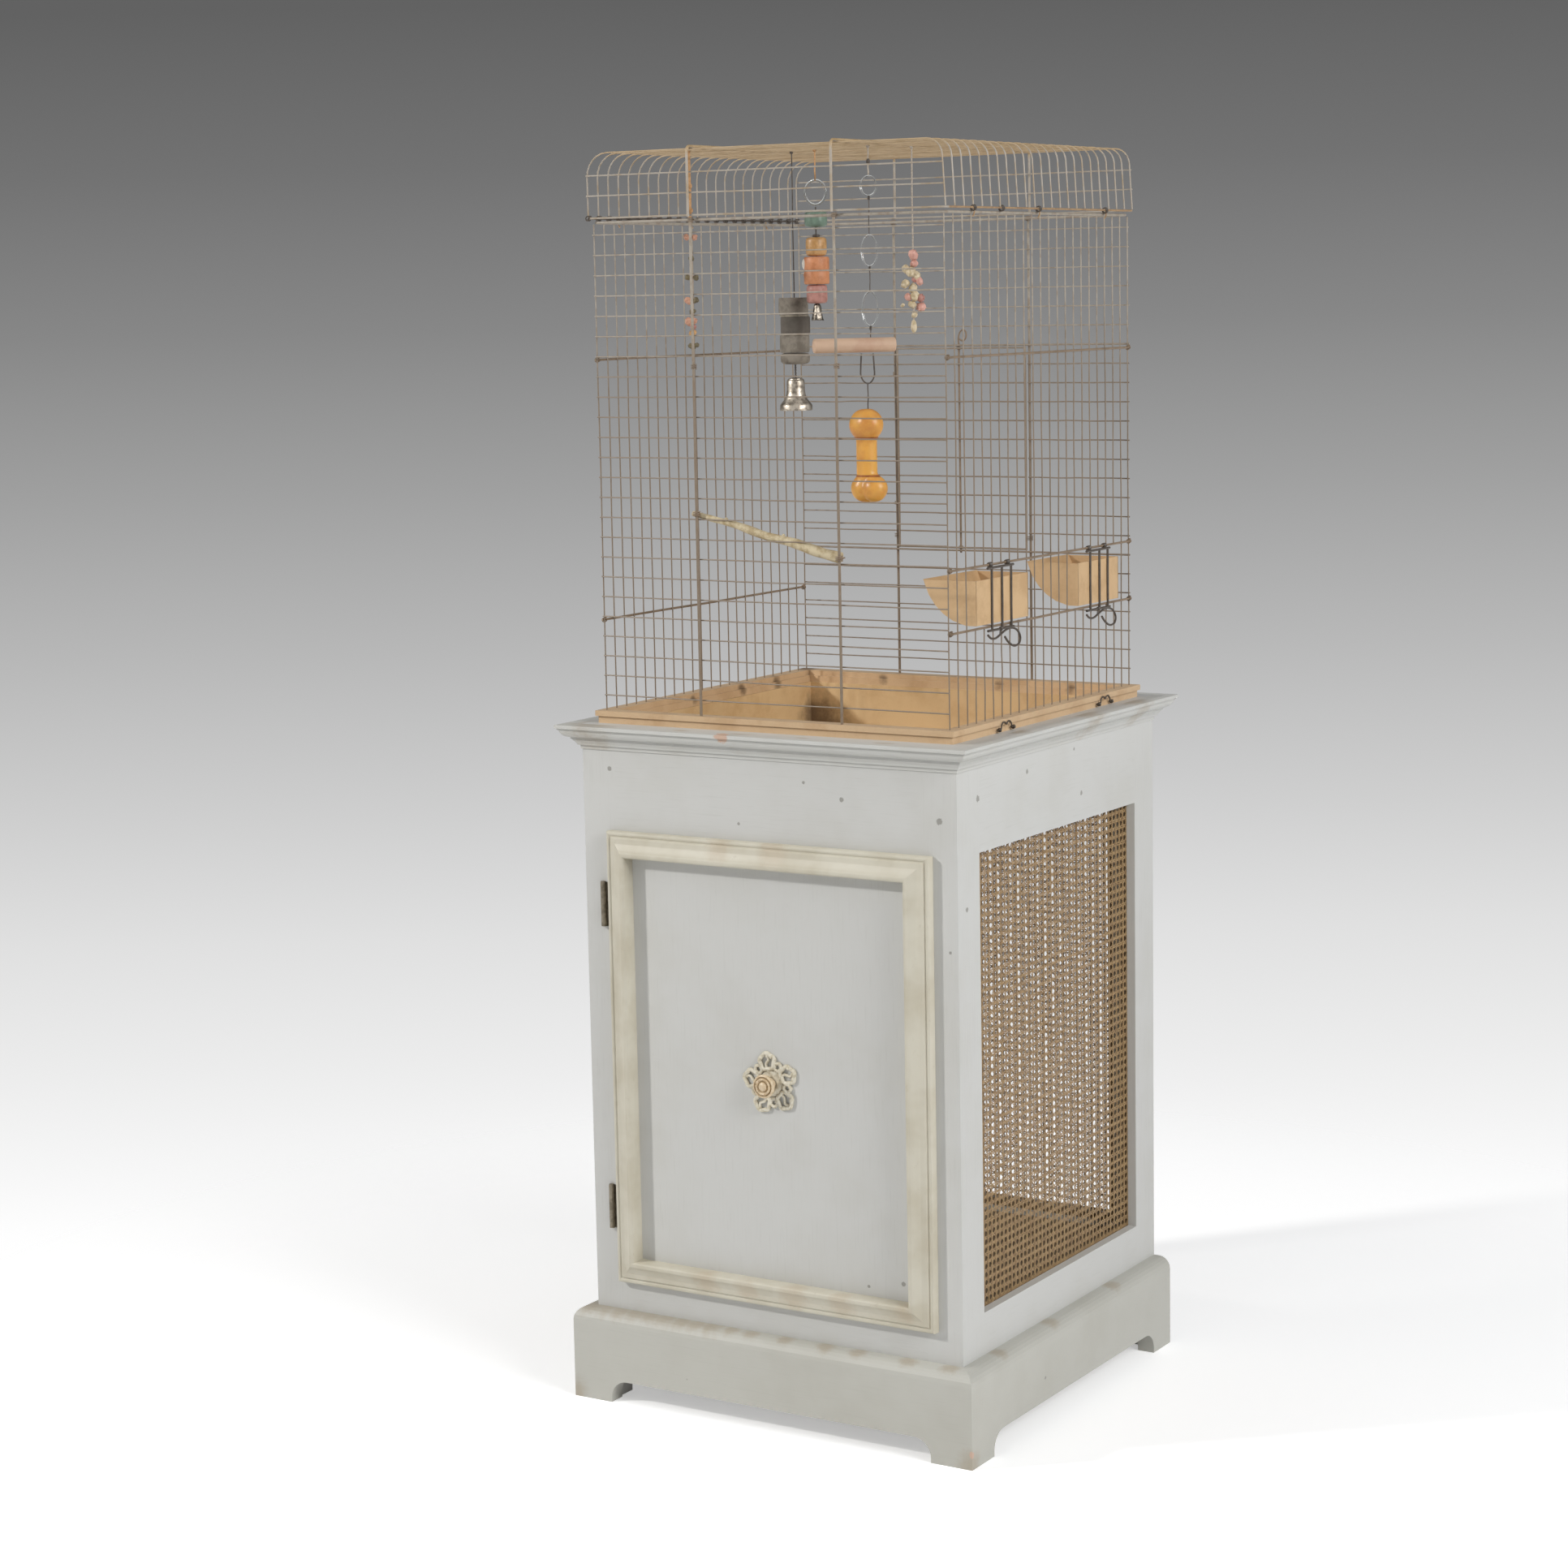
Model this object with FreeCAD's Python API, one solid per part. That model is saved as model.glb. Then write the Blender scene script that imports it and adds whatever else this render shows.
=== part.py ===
import FreeCAD, Part
import math
import os

from FreeCAD import Vector

# A parrot cage standing on a painted cabinet.
# Millimetres. Origin on the floor under the middle, +X to the right, the door faces -Y, +Z up.

# Cabinet body, plinth and cornice
body_width = 546.0
body_depth = 546.0
body_height = 859.5
cornice_height = 32.5
cornice_out = 26.0
top_thick = 18.0
frame_thick = 24.0
stile_width = 49.0
side_stile_width = 56.0
frieze_height = 114.5
sill_height = 52.0
side_frieze_height = 104.5
side_sill_height = 54.0
floor_thick = 18.0
floor_drop = 15.0
plinth_thick = 24.0
plinth_height = 121.0
plinth_round = 16.0
foot_width = 58.0
back_foot_width = 52.0
cutout_height = 30.0
cutout_rise = 6.0
block_over = 10.0
block_setback = 4.0
overrun = 5.0

# Cane panels in the sides and back
cane_setback = 12.0
cane_thick = 2.5
rebate_width = 8.0
panel_play = 0.5
cane_columns = 6
cane_rows = 8
cane_strip = 18.0

# Door, moulding, knob and catch
leaf_thick = 20.0
door_gap = 2.0
moulding_lap = 12.0
moulding_width = 32.0
moulding_proud = 22.0
moulding_side = 3.5
seat_gap = 0.3
plate_radius = 24.0
plate_lobe_radius = 15.0
plate_lobe_reach = 26.0
plate_hole_radius = 6.5
plate_hole_reach = 27.0
plate_thick = 2.0
knob_radius = 15.5
knob_reach = 22.0
knob_side = 3.0
knob_drop = 9.3
catch_height = 30.0
catch_thick = 10.0
catch_plate_thick = 1.5
catch_lap = 20.0
catch_hold = 24.0

# Door hinges
hinge_length = 57.0
hinge_end = 57.0
hinge_side = 21.0
hinge_proud = 3.0
knuckle_radius = 3.5
pin_radius = 1.6
pin_play = 0.08
knuckle_gap = 0.3
wing_thick = 1.6
wing_depth = 16.0
wing_reach = 39.0
pocket_play = 0.5

# Tray, its rim and the foot frame of the cage
wire_count = 23
cage_side_inset = 22.0
cage_end_inset = 25.5
rim_out = 8.0
lip_out = 11.0
rim_seat = 14.0
rim_width = 20.0
rim_height = 9.0
lip_height = 7.0
tray_depth = 70.0
tray_wall = 10.0
tray_bottom_thick = 8.0

# Wires of the cage
wire_size = 2.0
rod_size = 4.5
rail_size = 3.0
ring_size = 4.0
weld_gap = 0.1
cage_height = 617.0
front_pitch = 25.3
front_first = 19.8
back_pitch = 25.2
back_first = 22.1
level_count = 24
rod_side = 103.0
lower_rail_height = 116.0
feeder_rail_height = 192.0
upper_rail_height = 446.0

# Door in the back of the cage and its drop bolt
sill_index = 6
header_index = 17
stout_index = 5
stout_side = 21.0
door_bar_size = 2.5
door_post_size = 3.0
door_play = 1.0
post_play = 3.5
eye_wall = 1.5
eye_height = 6.0
eye_play = 0.08
low_eye_index = 8
high_eye_index = 15
bolt_size = 3.0
bolt_side = 4.0
bolt_tail = 2.0
bolt_head = 22.0
bolt_play = 0.3
guide_height = 4.0
guide_wall = 1.5
guide_play = 0.15
bolt_ring_radius = 6.0

# Clip loops at the rim
clip_length = 62.0
clip_rise = 10.0
clip_size = 2.0
clip_corner = 3.0
clip_tail = 7.4
clip_lift = 4.0
clip_eye_side = 6.0
clip_eye_length = 4.0
clip_right_front_inset = 130.5
clip_right_rear_inset = 104.5
clip_left_front_inset = 134.5
clip_left_rear_inset = 107.5

# Feeders in the right side
feeder_board = 5.0
feeder_floor = 4.0
feeder_top_gap = 5.0
feeder_bottom_gap = 3.5
feeder_side_gap = 3.0
front_feeder_inset = 16.5
rear_feeder_inset = 22.0
rear_feeder_end = 17.0
front_feeder_first = 2
front_feeder_last = 9
rear_feeder_first = 14
rear_feeder_last = 21
feeder_lip_angle = 11.0
ring_eye_radius = 3.4
ring_eye_play = 0.1
ring_eye_length = 3.0
hanger_drop = 4.5
hook_eye_radius = 2.4
hook_eye_length = 4.0
hook_length = 98.0
hook_bend = 3.5

# Hood of the cage
hood_side_out = 5.0
hood_end_out = 4.4
hood_lift = 5.0
hood_band_height = 3.0
hood_band_width = 5.0
hood_height = 79.0
hood_bend = 30.0
hood_rod_bend = 6.0
hood_row_low = 26.0
hood_row_high = 51.0
hood_rows_size = 2.0
hood_seat = 0.05
hook_tab_width = 9.0
hook_tab_drop = 11.0
hook_tab_thick = 2.0

# Perch
perch_thin = 5.0
perch_thick = 10.0
perch_bow = 6.0
perch_left_tail = 10.0
perch_right_tail = 0.5
perch_clip_width = 12.0
perch_clip_height = 9.0
perch_clip_front = 5.0
perch_clip_depth = 13.5
perch_left_index = 9
perch_right_index = 7
perch_clip_lift = 1.5

# Toys hung from the hood
toy_eye_radius = 3.2
toy_eye_play = 0.08
toy_eye_length = 3.0
cord_size = 1.6
bead_string_index = 2
bead_string_side = -133.0
bead_size = 18.0
bead_length = 14.8
bead_drop = 4.0
bead_count = 16
tower_index = 7
tower_side = -19.0
tower_ring_size = 35.0
tower_ring_wire = 3.5
tower_drop = 32.0
green_bead_size = 26.0
green_bead_height = 25.4
tower_cord_length = 6.5
tan_block_size = 28.0
tan_block_height = 28.0
disc_size = 33.0
disc_height = 17.0
pink_bead_size = 26.0
pink_bead_height = 25.0
tower_bell_drop = 2.0
small_bell_size = 18.0
small_bell_height = 22.0
mineral_index = 8
mineral_side = -67.0
mineral_size = 42.0
mineral_height = 71.0
mineral_drop = 179.0
mineral_band = 3.0
mineral_groove = 1.0
knob_end_size = 38.0
knob_end_height = 14.0
bell_size = 42.0
bell_height = 41.0
bell_wall = 1.6
bell_drop = 18.0
chain_index = 5
chain_side = 85.0
chain_wire_size = 2.0
chain_link_drops = (31.8, 46.0, 29.0)
chain_link_widths = (24.0, 24.0, 24.0)
chain_link_heights = (26.0, 40.0, 44.0)
chain_last_drop = 13.0
dowel_size = 18.0
dowel_length = 104.0
dowel_shift = 21.0
bone_shift = 4.7
bone_link_width = 23.0
bone_link_height = 40.0
bone_hook_length = 30.0
bone_length = 118.0
bone_waist = 12.5
bone_lobe = 19.0
bone_lobe_side = 7.0
bone_dip = 6.0
shell_index = 8
shell_side = 108.0
shell_drop = 117.0
shell_bead = 17.0
shell_reach = 12.0
shell_core_size = 13.0
shell_cluster_height = 82.0
pendant_drop = 12.0
pendant_size = 9.0
pendant_height = 16.0

# Outlines as shares of the sizes that they follow
cornice_shares = ((0.0, 0.0), (0.0, 0.15), (0.15, 0.24), (0.31, 0.37), (0.45, 0.53), (0.67, 0.61),
                  (0.81, 0.82), (0.93, 0.88), (1.0, 1.0))
moulding_shares = ((0.0, 0.90), (0.05, 0.98), (0.13, 1.0), (0.24, 0.95), (0.40, 0.80), (0.58, 0.67),
                   (0.74, 0.60), (0.79, 0.46), (0.85, 0.54), (0.94, 0.53), (1.0, 0.42))
knob_shares = ((0.42, 0.0), (0.36, 0.25), (0.45, 0.50), (0.85, 0.62), (1.0, 0.74), (1.0, 0.86), (0.86, 0.95),
               (0.66, 0.96), (0.30, 1.0))
bell_shares = ((0.20, 1.0), (0.42, 0.94), (0.50, 0.80), (0.56, 0.55), (0.68, 0.30), (0.88, 0.10), (1.0, 0.0))
barrel_shares = ((0.32, 0.0), (0.44, 0.12), (0.5, 0.32), (0.5, 0.68), (0.44, 0.88), (0.32, 1.0))
ball_shares = ((0.44, 0.05), (0.88, 0.24), (1.0, 0.5), (0.88, 0.76), (0.44, 0.95))
small_bead_shares = ((0.3, 0.0), (0.5, 0.5), (0.3, 1.0))
hook_shares = ((-0.41, -0.095), (-0.10, -0.036), (0.0, -0.036), (0.14, -0.10), (0.42, -0.09), (0.56, -0.22),
               (0.26, -0.28), (0.15, -0.19))
shell_place_shares = ((0.1, -0.6, 0.14), (-0.9, -0.2, 0.3), (0.7, 0.5, 0.34), (0.3, -0.8, 0.5),
                      (-0.6, 0.6, 0.56), (0.9, -0.2, 0.66), (-0.5, -0.7, 0.76), (0.2, 0.3, 0.88))
hood_hook_right_shares = (-0.725, -0.44, -0.055, 0.68)
hood_hook_left_shares = (-0.965, -0.74, -0.012, 0.685)

# Levels and half widths that follow
half_x = body_width / 2
half_y = body_depth / 2
body_bottom = cutout_height + block_over
carcass_top = body_height + cornice_height - top_thick
cabinet_top_z = body_height + cornice_height
door_half = half_x - stile_width
door_low = plinth_height + sill_height
door_high = body_height - frieze_height
side_low = plinth_height + side_sill_height
side_high = body_height - side_frieze_height
side_half = half_y - side_stile_width
back_half = half_x - side_stile_width
cage_half_x = half_x - cage_side_inset
cage_half_y = half_y - cage_end_inset
wire_pitch = 2 * cage_half_y / (wire_count - 1)
rim_half_x = cage_half_x + rim_out
rim_half_y = cage_half_y + rim_out
well_half_x = rim_half_x - rim_seat
well_half_y = rim_half_y - rim_seat
rim_top = cabinet_top_z + rim_height
foot_top = rim_top + lip_height
ring_z = foot_top + cage_height
wire_r = wire_size / 2
rod_r = rod_size / 2
rail_r = rail_size / 2
ring_r = ring_size / 2


def box(x, y, z):
    """A box from three pairs of limits."""
    size = [max(pair) - min(pair) for pair in (x, y, z)]
    return Part.makeBox(size[0], size[1], size[2], Vector(min(x), min(y), min(z)))


def prism(points, run):
    """A closed outline drawn out along a vector."""
    return Part.Face(Part.makePolygon(points + [points[0]])).extrude(run)


def ring_of(centre, along, size, sides):
    """Corners of a regular section across a direction."""
    along = Vector(along).normalize()
    side = along.cross(Vector(0, 0, 1))
    if side.Length < abs(along.z):
        side = Vector(1, 0, 0)
    side.normalize()
    rise = along.cross(side)
    corners = []
    for step in range(sides):
        turn = 2 * math.pi * (step + 0.5) / sides
        corners.append(centre + (side * math.cos(turn) + rise * math.sin(turn)) * (size / 2))
    return corners


def skin(rings, closed=False):
    """A solid with flat sides from one ring of corners to the next."""
    faces = []
    pairs = list(zip(rings, rings[1:]))
    if closed:
        pairs.append((rings[-1], rings[0]))
    else:
        for ring in (rings[0], rings[-1]):
            faces.append(Part.Face(Part.makePolygon(ring + [ring[0]])))
    for low, high in pairs:
        for index in range(len(low)):
            after = (index + 1) % len(low)
            corners = [low[index], low[after], high[after], high[index]]
            faces.append(Part.Face(Part.makePolygon(corners + [corners[0]])))
    solid = Part.Solid(Part.Shell(faces))
    if solid.Volume < 0:
        solid.reverse()
    return solid


def rod(start, end, size, sides=8):
    """A straight bar between two points."""
    return skin([ring_of(start, end - start, size, sides), ring_of(end, end - start, size, sides)])


def wire(start, end, size=wire_size):
    """A straight wire, faceted along its length."""
    return rod(start, end, size, 5)


def rounded_points(points, radius, chords):
    """Straight runs joined by arcs of a few chords."""
    places = [points[0]]
    for before, corner, after in zip(points, points[1:], points[2:]):
        into = (corner - before).normalize()
        out = (after - corner).normalize()
        turn = into.getAngle(out)
        cut = radius * math.tan(turn / 2)
        first = corner - into * cut
        inward = (out - into).normalize()
        centre = corner + inward * (radius / math.cos(turn / 2))
        spoke = first - centre
        for step in range(chords + 1):
            angle = turn * step / chords
            places.append(centre + spoke * math.cos(angle) + into * (radius * math.sin(angle)))
    places.append(points[-1])
    return places


def mitred(corners, place, into, out):
    """A section pushed along one run on to the plane that halves its bend with another."""
    normal = (into + out).normalize()
    return [corner + into * ((place - corner).dot(normal) / into.dot(normal)) for corner in corners]


def swept(places, size, sides):
    """A wire of constant section along straight chords."""
    runs = [(after - before).normalize() for before, after in zip(places, places[1:])]
    rings = [ring_of(places[0], runs[0], size, sides)]
    for place, into, out in zip(places[1:], runs, runs[1:]):
        rings.append(mitred(rings[-1], place, into, out))
    end = [corner + runs[-1] * (places[-1] - corner).dot(runs[-1]) for corner in rings[-1]]
    return skin(rings + [end])


def looped(places, size, sides):
    """The same round a closed flat loop."""
    runs = [(after - before).normalize() for before, after in zip(places, places[1:] + places[:1])]
    rings = [mitred(ring_of(places[0], runs[0], size, sides), places[0], runs[0], runs[-1])]
    for place, into, out in zip(places[1:], runs, runs[1:]):
        rings.append(mitred(rings[-1], place, into, out))
    return skin(rings, True)


def bent_wire(points, radius, size, sides, chords):
    """A wire bent at each point between its ends."""
    return swept(rounded_points(points, radius, chords), size, sides)


def turned(outline, centre, axis, reach, sides=12):
    """A faceted turning from (radius, distance) pairs along an axis."""
    rings = [ring_of(centre + axis * (reach * along), axis, 2 * radius, sides) for radius, along in outline]
    return skin(rings)


def tube(centre, axis, radius, bore, length, sides=8):
    """A short eye about an axis; its bore clears a round bar of that radius."""
    start = centre - axis * (length / 2)
    end = centre + axis * (length / 2)
    inner = 2 * bore / math.cos(math.pi / sides)
    hole = rod(start - axis * overrun, end + axis * overrun, inner, sides)
    return rod(start, end, 2 * radius, sides).cut(hole)


def mitred_sides(outline, inner_x, inner_y, square_back=None):
    """Mitred sides of a rectangular frame.

    The outline is drawn as (out, up) pairs from the inner edge. The side that faces +X comes first, and
    the others follow anticlockwise. With square_back the right and left sides end square there.
    """
    reach = max(point[0] for point in outline)
    least = min(point[0] for point in outline)
    low = min(point[1] for point in outline)
    high = max(point[1] for point in outline)
    pieces = []
    for turn in range(4):
        across, along = (inner_x, inner_y) if turn % 2 == 0 else (inner_y, inner_x)
        points = [Vector(across + out, -along - reach, up) for out, up in outline]
        bar = prism(points, Vector(0, 2 * (along + reach), 0))
        ends = [along + least, along + reach]
        begin = [-along - least, -along - reach]
        if square_back and turn == 0:
            ends = [square_back, square_back]
        elif square_back and turn % 2 == 0:
            begin = [-square_back, -square_back]
        plan = [Vector(across + least, begin[0], low), Vector(across + reach, begin[1], low),
                Vector(across + reach, ends[1], low), Vector(across + least, ends[0], low)]
        piece = bar.common(prism(plan, Vector(0, 0, high - low)))
        piece.rotate(Vector(0, 0, 0), Vector(0, 0, 1), 90.0 * turn)
        pieces.append(piece)
    return pieces


def moved(shape, vector):
    copy = shape.copy()
    copy.translate(vector)
    return copy


def mirrored(shape):
    """The same piece on the other side of the middle plane."""
    return shape.mirror(Vector(0, 0, 0), Vector(1, 0, 0))


nodes = {}


def keep(name, shapes):
    """Store one node, made of one solid or of several."""
    solids = []
    for shape in shapes:
        solids += shape.Solids
    nodes[name] = solids[0] if len(solids) == 1 else Part.makeCompound(solids)


# Plinth with a rounded top edge and bracket feet
def plinth_outline():
    points = [(0, 0), (plinth_thick, 0)]
    steps = 5
    for step in range(steps + 1):
        turn = math.pi / 2 * step / steps
        points.append((plinth_thick - plinth_round * (1 - math.cos(turn)),
                       plinth_height - plinth_round * (1 - math.sin(turn))))
    points.append((0, plinth_height))
    return points


def foot_cutter(start, end, depth_low, depth_high, along_x):
    """The opening between two feet, with rounded upper corners."""
    radius = cutout_height - cutout_rise

    def place(along, height):
        return Vector(along, depth_low, height) if along_x else Vector(depth_low, along, height)

    low = -overrun
    inside = radius * (1 - math.cos(math.pi / 4))
    edges = [
        Part.LineSegment(place(start, low), place(start, cutout_rise)).toShape(),
        Part.Arc(place(start, cutout_rise), place(start + inside, cutout_height - inside),
                 place(start + radius, cutout_height)).toShape(),
        Part.LineSegment(place(start + radius, cutout_height), place(end - radius, cutout_height)).toShape(),
        Part.Arc(place(end - radius, cutout_height), place(end - inside, cutout_height - inside),
                 place(end, cutout_rise)).toShape(),
        Part.LineSegment(place(end, cutout_rise), place(end, low)).toShape(),
        Part.LineSegment(place(end, low), place(start, low)).toShape(),
    ]
    run = Vector(0, depth_high - depth_low, 0) if along_x else Vector(depth_high - depth_low, 0, 0)
    return Part.Face(Part.Wire(edges)).extrude(run)


plinth_x = half_x + plinth_thick
plinth_y = half_y + plinth_thick
right, back, left, front = mitred_sides(plinth_outline(), half_x, half_y, half_y)
front_cut = foot_cutter(-plinth_x + foot_width, plinth_x - foot_width, -plinth_y - overrun,
                        -half_y + overrun, True)
side_cut = foot_cutter(-plinth_y + foot_width, half_y - back_foot_width, half_x - overrun,
                       plinth_x + overrun, False)
keep("plinth_front", [front.cut(front_cut)])
keep("plinth_sides", [right.cut(side_cut), left.cut(mirrored(side_cut))])
block_side = foot_width - plinth_thick - block_setback
blocks = []
for sx in (-1, 1):
    for sy in (-1, 1):
        blocks.append(box((sx * (half_x - block_side), sx * half_x),
                          (sy * (half_y - block_side), sy * half_y), (0, body_bottom)))
keep("plinth_blocks", blocks)

# Front frame, with pockets for the hinges
axis_x = -door_half - hinge_side
axis_y = -half_y - hinge_proud
hinge_bottoms = (door_low + hinge_end, door_high - hinge_end - hinge_length)
wing_front = axis_y + knuckle_radius + knuckle_gap
wing_back = wing_front + wing_thick
stile_right = box((door_half, half_x), (-half_y, -half_y + frame_thick), (body_bottom, carcass_top))
stile_left = mirrored(stile_right)
frame_wing_x = (axis_x - knuckle_radius, axis_x - knuckle_radius + wing_thick)
for bottom in hinge_bottoms:
    span = (bottom - pocket_play, bottom + hinge_length + pocket_play)
    stile_left = stile_left.cut(box((frame_wing_x[0] - pocket_play, -door_half + overrun),
                                    (-half_y - overrun, wing_back + pocket_play + pocket_play), span))
    stile_left = stile_left.cut(box(frame_wing_x, (-half_y - overrun, -half_y + wing_depth),
                                    (bottom, bottom + hinge_length)))
keep("front_stiles", [stile_left, stile_right])
rails = []
for low, high in ((body_bottom, door_low), (door_high, carcass_top)):
    rails.append(box((-door_half, door_half), (-half_y, -half_y + frame_thick), (low, high)))
keep("front_rails", rails)

# Side frames, rebated on the inside for the cane
inside_x = half_x - frame_thick
cane_front = half_x - cane_setback
rebate = box((inside_x - overrun, cane_front), (-side_half - rebate_width, side_half + rebate_width),
             (side_low - rebate_width, side_high + rebate_width))
stiles = []
side_rails_wood = []
for low, high in ((-half_y + frame_thick, -side_half), (side_half, half_y)):
    stiles.append(box((inside_x, half_x), (low, high), (body_bottom, carcass_top)).cut(rebate))
for low, high in ((body_bottom, side_low), (side_high, carcass_top)):
    side_rails_wood.append(box((inside_x, half_x), (-side_half, side_half), (low, high)).cut(rebate))
keep("side_stiles", stiles + [mirrored(piece) for piece in stiles])
keep("side_frame_rails", side_rails_wood + [mirrored(piece) for piece in side_rails_wood])

# Back frame, made as the side frames are
inside_y = half_y - frame_thick
cane_rear = half_y - cane_setback
rebate = box((-back_half - rebate_width, back_half + rebate_width), (inside_y - overrun, cane_rear),
             (side_low - rebate_width, side_high + rebate_width))
back_frame = []
for side in (-1, 1):
    back_frame.append(box((side * back_half, side * inside_x), (inside_y, half_y),
                          (body_bottom, carcass_top)))
for low, high in ((body_bottom, side_low), (side_high, carcass_top)):
    back_frame.append(box((-back_half, back_half), (inside_y, half_y), (low, high)))
keep("back_frame", [piece.cut(rebate) for piece in back_frame])


# Cane panels and the beads that hold them
def on_side(shape):
    """A piece drawn for the back, turned to the right side."""
    copy = moved(shape, Vector(0, -cane_rear, 0))
    copy.rotate(Vector(0, 0, 0), Vector(0, 0, 1), -90)
    return moved(copy, Vector(cane_front, 0, 0))


def cane_panel(half):
    """The net of one opening, drawn for the back."""
    reach = half + rebate_width - panel_play
    net = box((-reach, reach), (cane_rear - cane_thick, cane_rear),
              (side_low - rebate_width + panel_play, side_high + rebate_width - panel_play))
    column = (2 * half + cane_strip) / cane_columns
    row = (side_high - side_low + cane_strip) / cane_rows
    holes = []
    for i in range(cane_columns):
        for j in range(cane_rows):
            x = -half + i * column
            z = side_low + j * row
            holes.append(box((x, x + column - cane_strip),
                             (cane_rear - cane_thick - overrun, cane_rear + overrun),
                             (z, z + row - cane_strip)))
    return net.cut(Part.makeCompound(holes))


def cane_bead(half):
    """The four beads round one opening, drawn for the back."""
    depth = (inside_y, cane_rear - cane_thick)
    beads = []
    for low, high in ((-half - rebate_width, -half), (half, half + rebate_width)):
        beads.append(box((low, high), depth, (side_low - rebate_width, side_high + rebate_width)))
    for low, high in ((side_low - rebate_width, side_low), (side_high, side_high + rebate_width)):
        beads.append(box((-half, half), depth, (low, high)))
    return beads


side_cane = on_side(cane_panel(side_half))
keep("cane_panels", [cane_panel(back_half), side_cane, mirrored(side_cane)])
side_beads = [on_side(bead) for bead in cane_bead(side_half)]
keep("cane_beads", cane_bead(back_half) + side_beads + [mirrored(bead) for bead in side_beads])

# Floor and top boards
floor_top = door_low - floor_drop
keep("cabinet_floor", [box((-inside_x, inside_x), (-inside_y, inside_y),
                           (floor_top - floor_thick, floor_top))])
top = box((-half_x, half_x), (-half_y, half_y), (carcass_top, cabinet_top_z))
well = box((-well_half_x, well_half_x), (-well_half_y, well_half_y),
           (carcass_top - overrun, cabinet_top_z + overrun))
keep("cabinet_top", [top.cut(well)])

# Cornice: slab edge, step, hollow, fillet and lower bead
cornice_outline = [(0, cornice_height)]
for inward, drop in cornice_shares:
    cornice_outline.append((cornice_out * (1 - inward), cornice_height * (1 - drop)))
cornice = mitred_sides(cornice_outline, half_x, half_y)
keep("cornice", [moved(piece, Vector(0, 0, body_height)) for piece in cornice])

# Tray let into the top, and its rim
bottom_z = cabinet_top_z - tray_depth
keep("tray_bottom", [box((-well_half_x, well_half_x), (-well_half_y, well_half_y),
                         (bottom_z - tray_bottom_thick, bottom_z))])
walls = []
for side in (-1, 1):
    walls.append(box((-well_half_x, well_half_x), (side * (well_half_y - tray_wall), side * well_half_y),
                     (bottom_z, cabinet_top_z)))
    walls.append(box((side * (well_half_x - tray_wall), side * well_half_x),
                     (-well_half_y + tray_wall, well_half_y - tray_wall), (bottom_z, cabinet_top_z)))
keep("tray_walls", walls)


def plain_frame(outer_x, outer_y, width, low, high):
    outline = [(0, low), (width, low), (width, high), (0, high)]
    return mitred_sides(outline, outer_x - width, outer_y - width)


def joined(pieces):
    whole = pieces[0].fuse(pieces[1:])
    return whole.removeSplitter()


rim_pieces = plain_frame(rim_half_x, rim_half_y, rim_width, cabinet_top_z, rim_top)
keep("tray_rim", rim_pieces)
lip_x = cage_half_x + lip_out
lip_y = cage_half_y + lip_out
keep("cage_base_frame", plain_frame(lip_x, lip_y, rim_width, rim_top, foot_top))

# Clip loops on the rim, each turning in two eyes
clip_x = lip_x + seat_gap + clip_size / 2
clip_z = cabinet_top_z + clip_lift
clip_eyes = []


def clip(side, middle):
    """One loop with its tails, and the two eyes that carry it."""
    half = clip_length / 2
    places = ((-half - clip_tail, 0), (-half, 0), (-half, clip_rise), (half, clip_rise), (half, 0),
              (half + clip_tail, 0))
    points = [Vector(side * clip_x, middle + along, clip_z + up) for along, up in places]
    loop = bent_wire(points, clip_corner, clip_size, 6, 2)
    for end in (-1, 1):
        y = middle + end * (half + clip_tail - clip_eye_length / 2)
        low_z = clip_z - clip_eye_side / 2
        eye = box((side * rim_half_x, side * (clip_x + clip_eye_side / 2)),
                  (y - clip_eye_length / 2, y + clip_eye_length / 2), (low_z, low_z + clip_eye_side))
        start = Vector(side * clip_x, y - clip_eye_length / 2 - overrun, clip_z)
        bore = rod(start, start + Vector(0, clip_eye_length + 2 * overrun, 0),
                   (clip_size + 2 * pin_play) / math.cos(math.pi / 8))
        clip_eyes.append(eye.cut(bore))
    return loop


keep("rim_clip_front_right", [clip(1, clip_right_front_inset - rim_half_y)])
keep("rim_clip_rear_right", [clip(1, rim_half_y - clip_right_rear_inset)])
keep("rim_clip_front_left", [clip(-1, clip_left_front_inset - rim_half_y)])
keep("rim_clip_rear_left", [clip(-1, rim_half_y - clip_left_rear_inset)])
keep("rim_eyes", clip_eyes)

# Door leaf, moulding, knob and catch
leaf_half = door_half - door_gap
leaf_low = door_low + door_gap
leaf_high = door_high - door_gap
leaf = box((-leaf_half, leaf_half), (-half_y, -half_y + leaf_thick), (leaf_low, leaf_high))
wing_end = axis_x + wing_reach
for bottom in hinge_bottoms:
    leaf = leaf.cut(box((-leaf_half - overrun, wing_end), (-half_y - overrun, wing_back),
                        (bottom - pocket_play, bottom + hinge_length + pocket_play)))
keep("door_panel", [leaf])
lap_edge = moulding_width - moulding_lap - door_gap - moulding_side
outline = [(0, 0), (lap_edge, 0), (lap_edge, seat_gap), (moulding_width, seat_gap)]
for out, proud in reversed(moulding_shares):
    outline.append((moulding_width * out, moulding_proud * proud))
moulding_x = door_half + moulding_lap - moulding_width
moulding_z = (door_high - door_low) / 2 + moulding_lap - moulding_width
moulding = []
for piece in mitred_sides(outline, moulding_x, moulding_z):
    piece.rotate(Vector(0, 0, 0), Vector(1, 0, 0), 90)
    moulding.append(moved(piece, Vector(moulding_side, -half_y, (door_low + door_high) / 2)))
keep("door_moulding", moulding)

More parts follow.
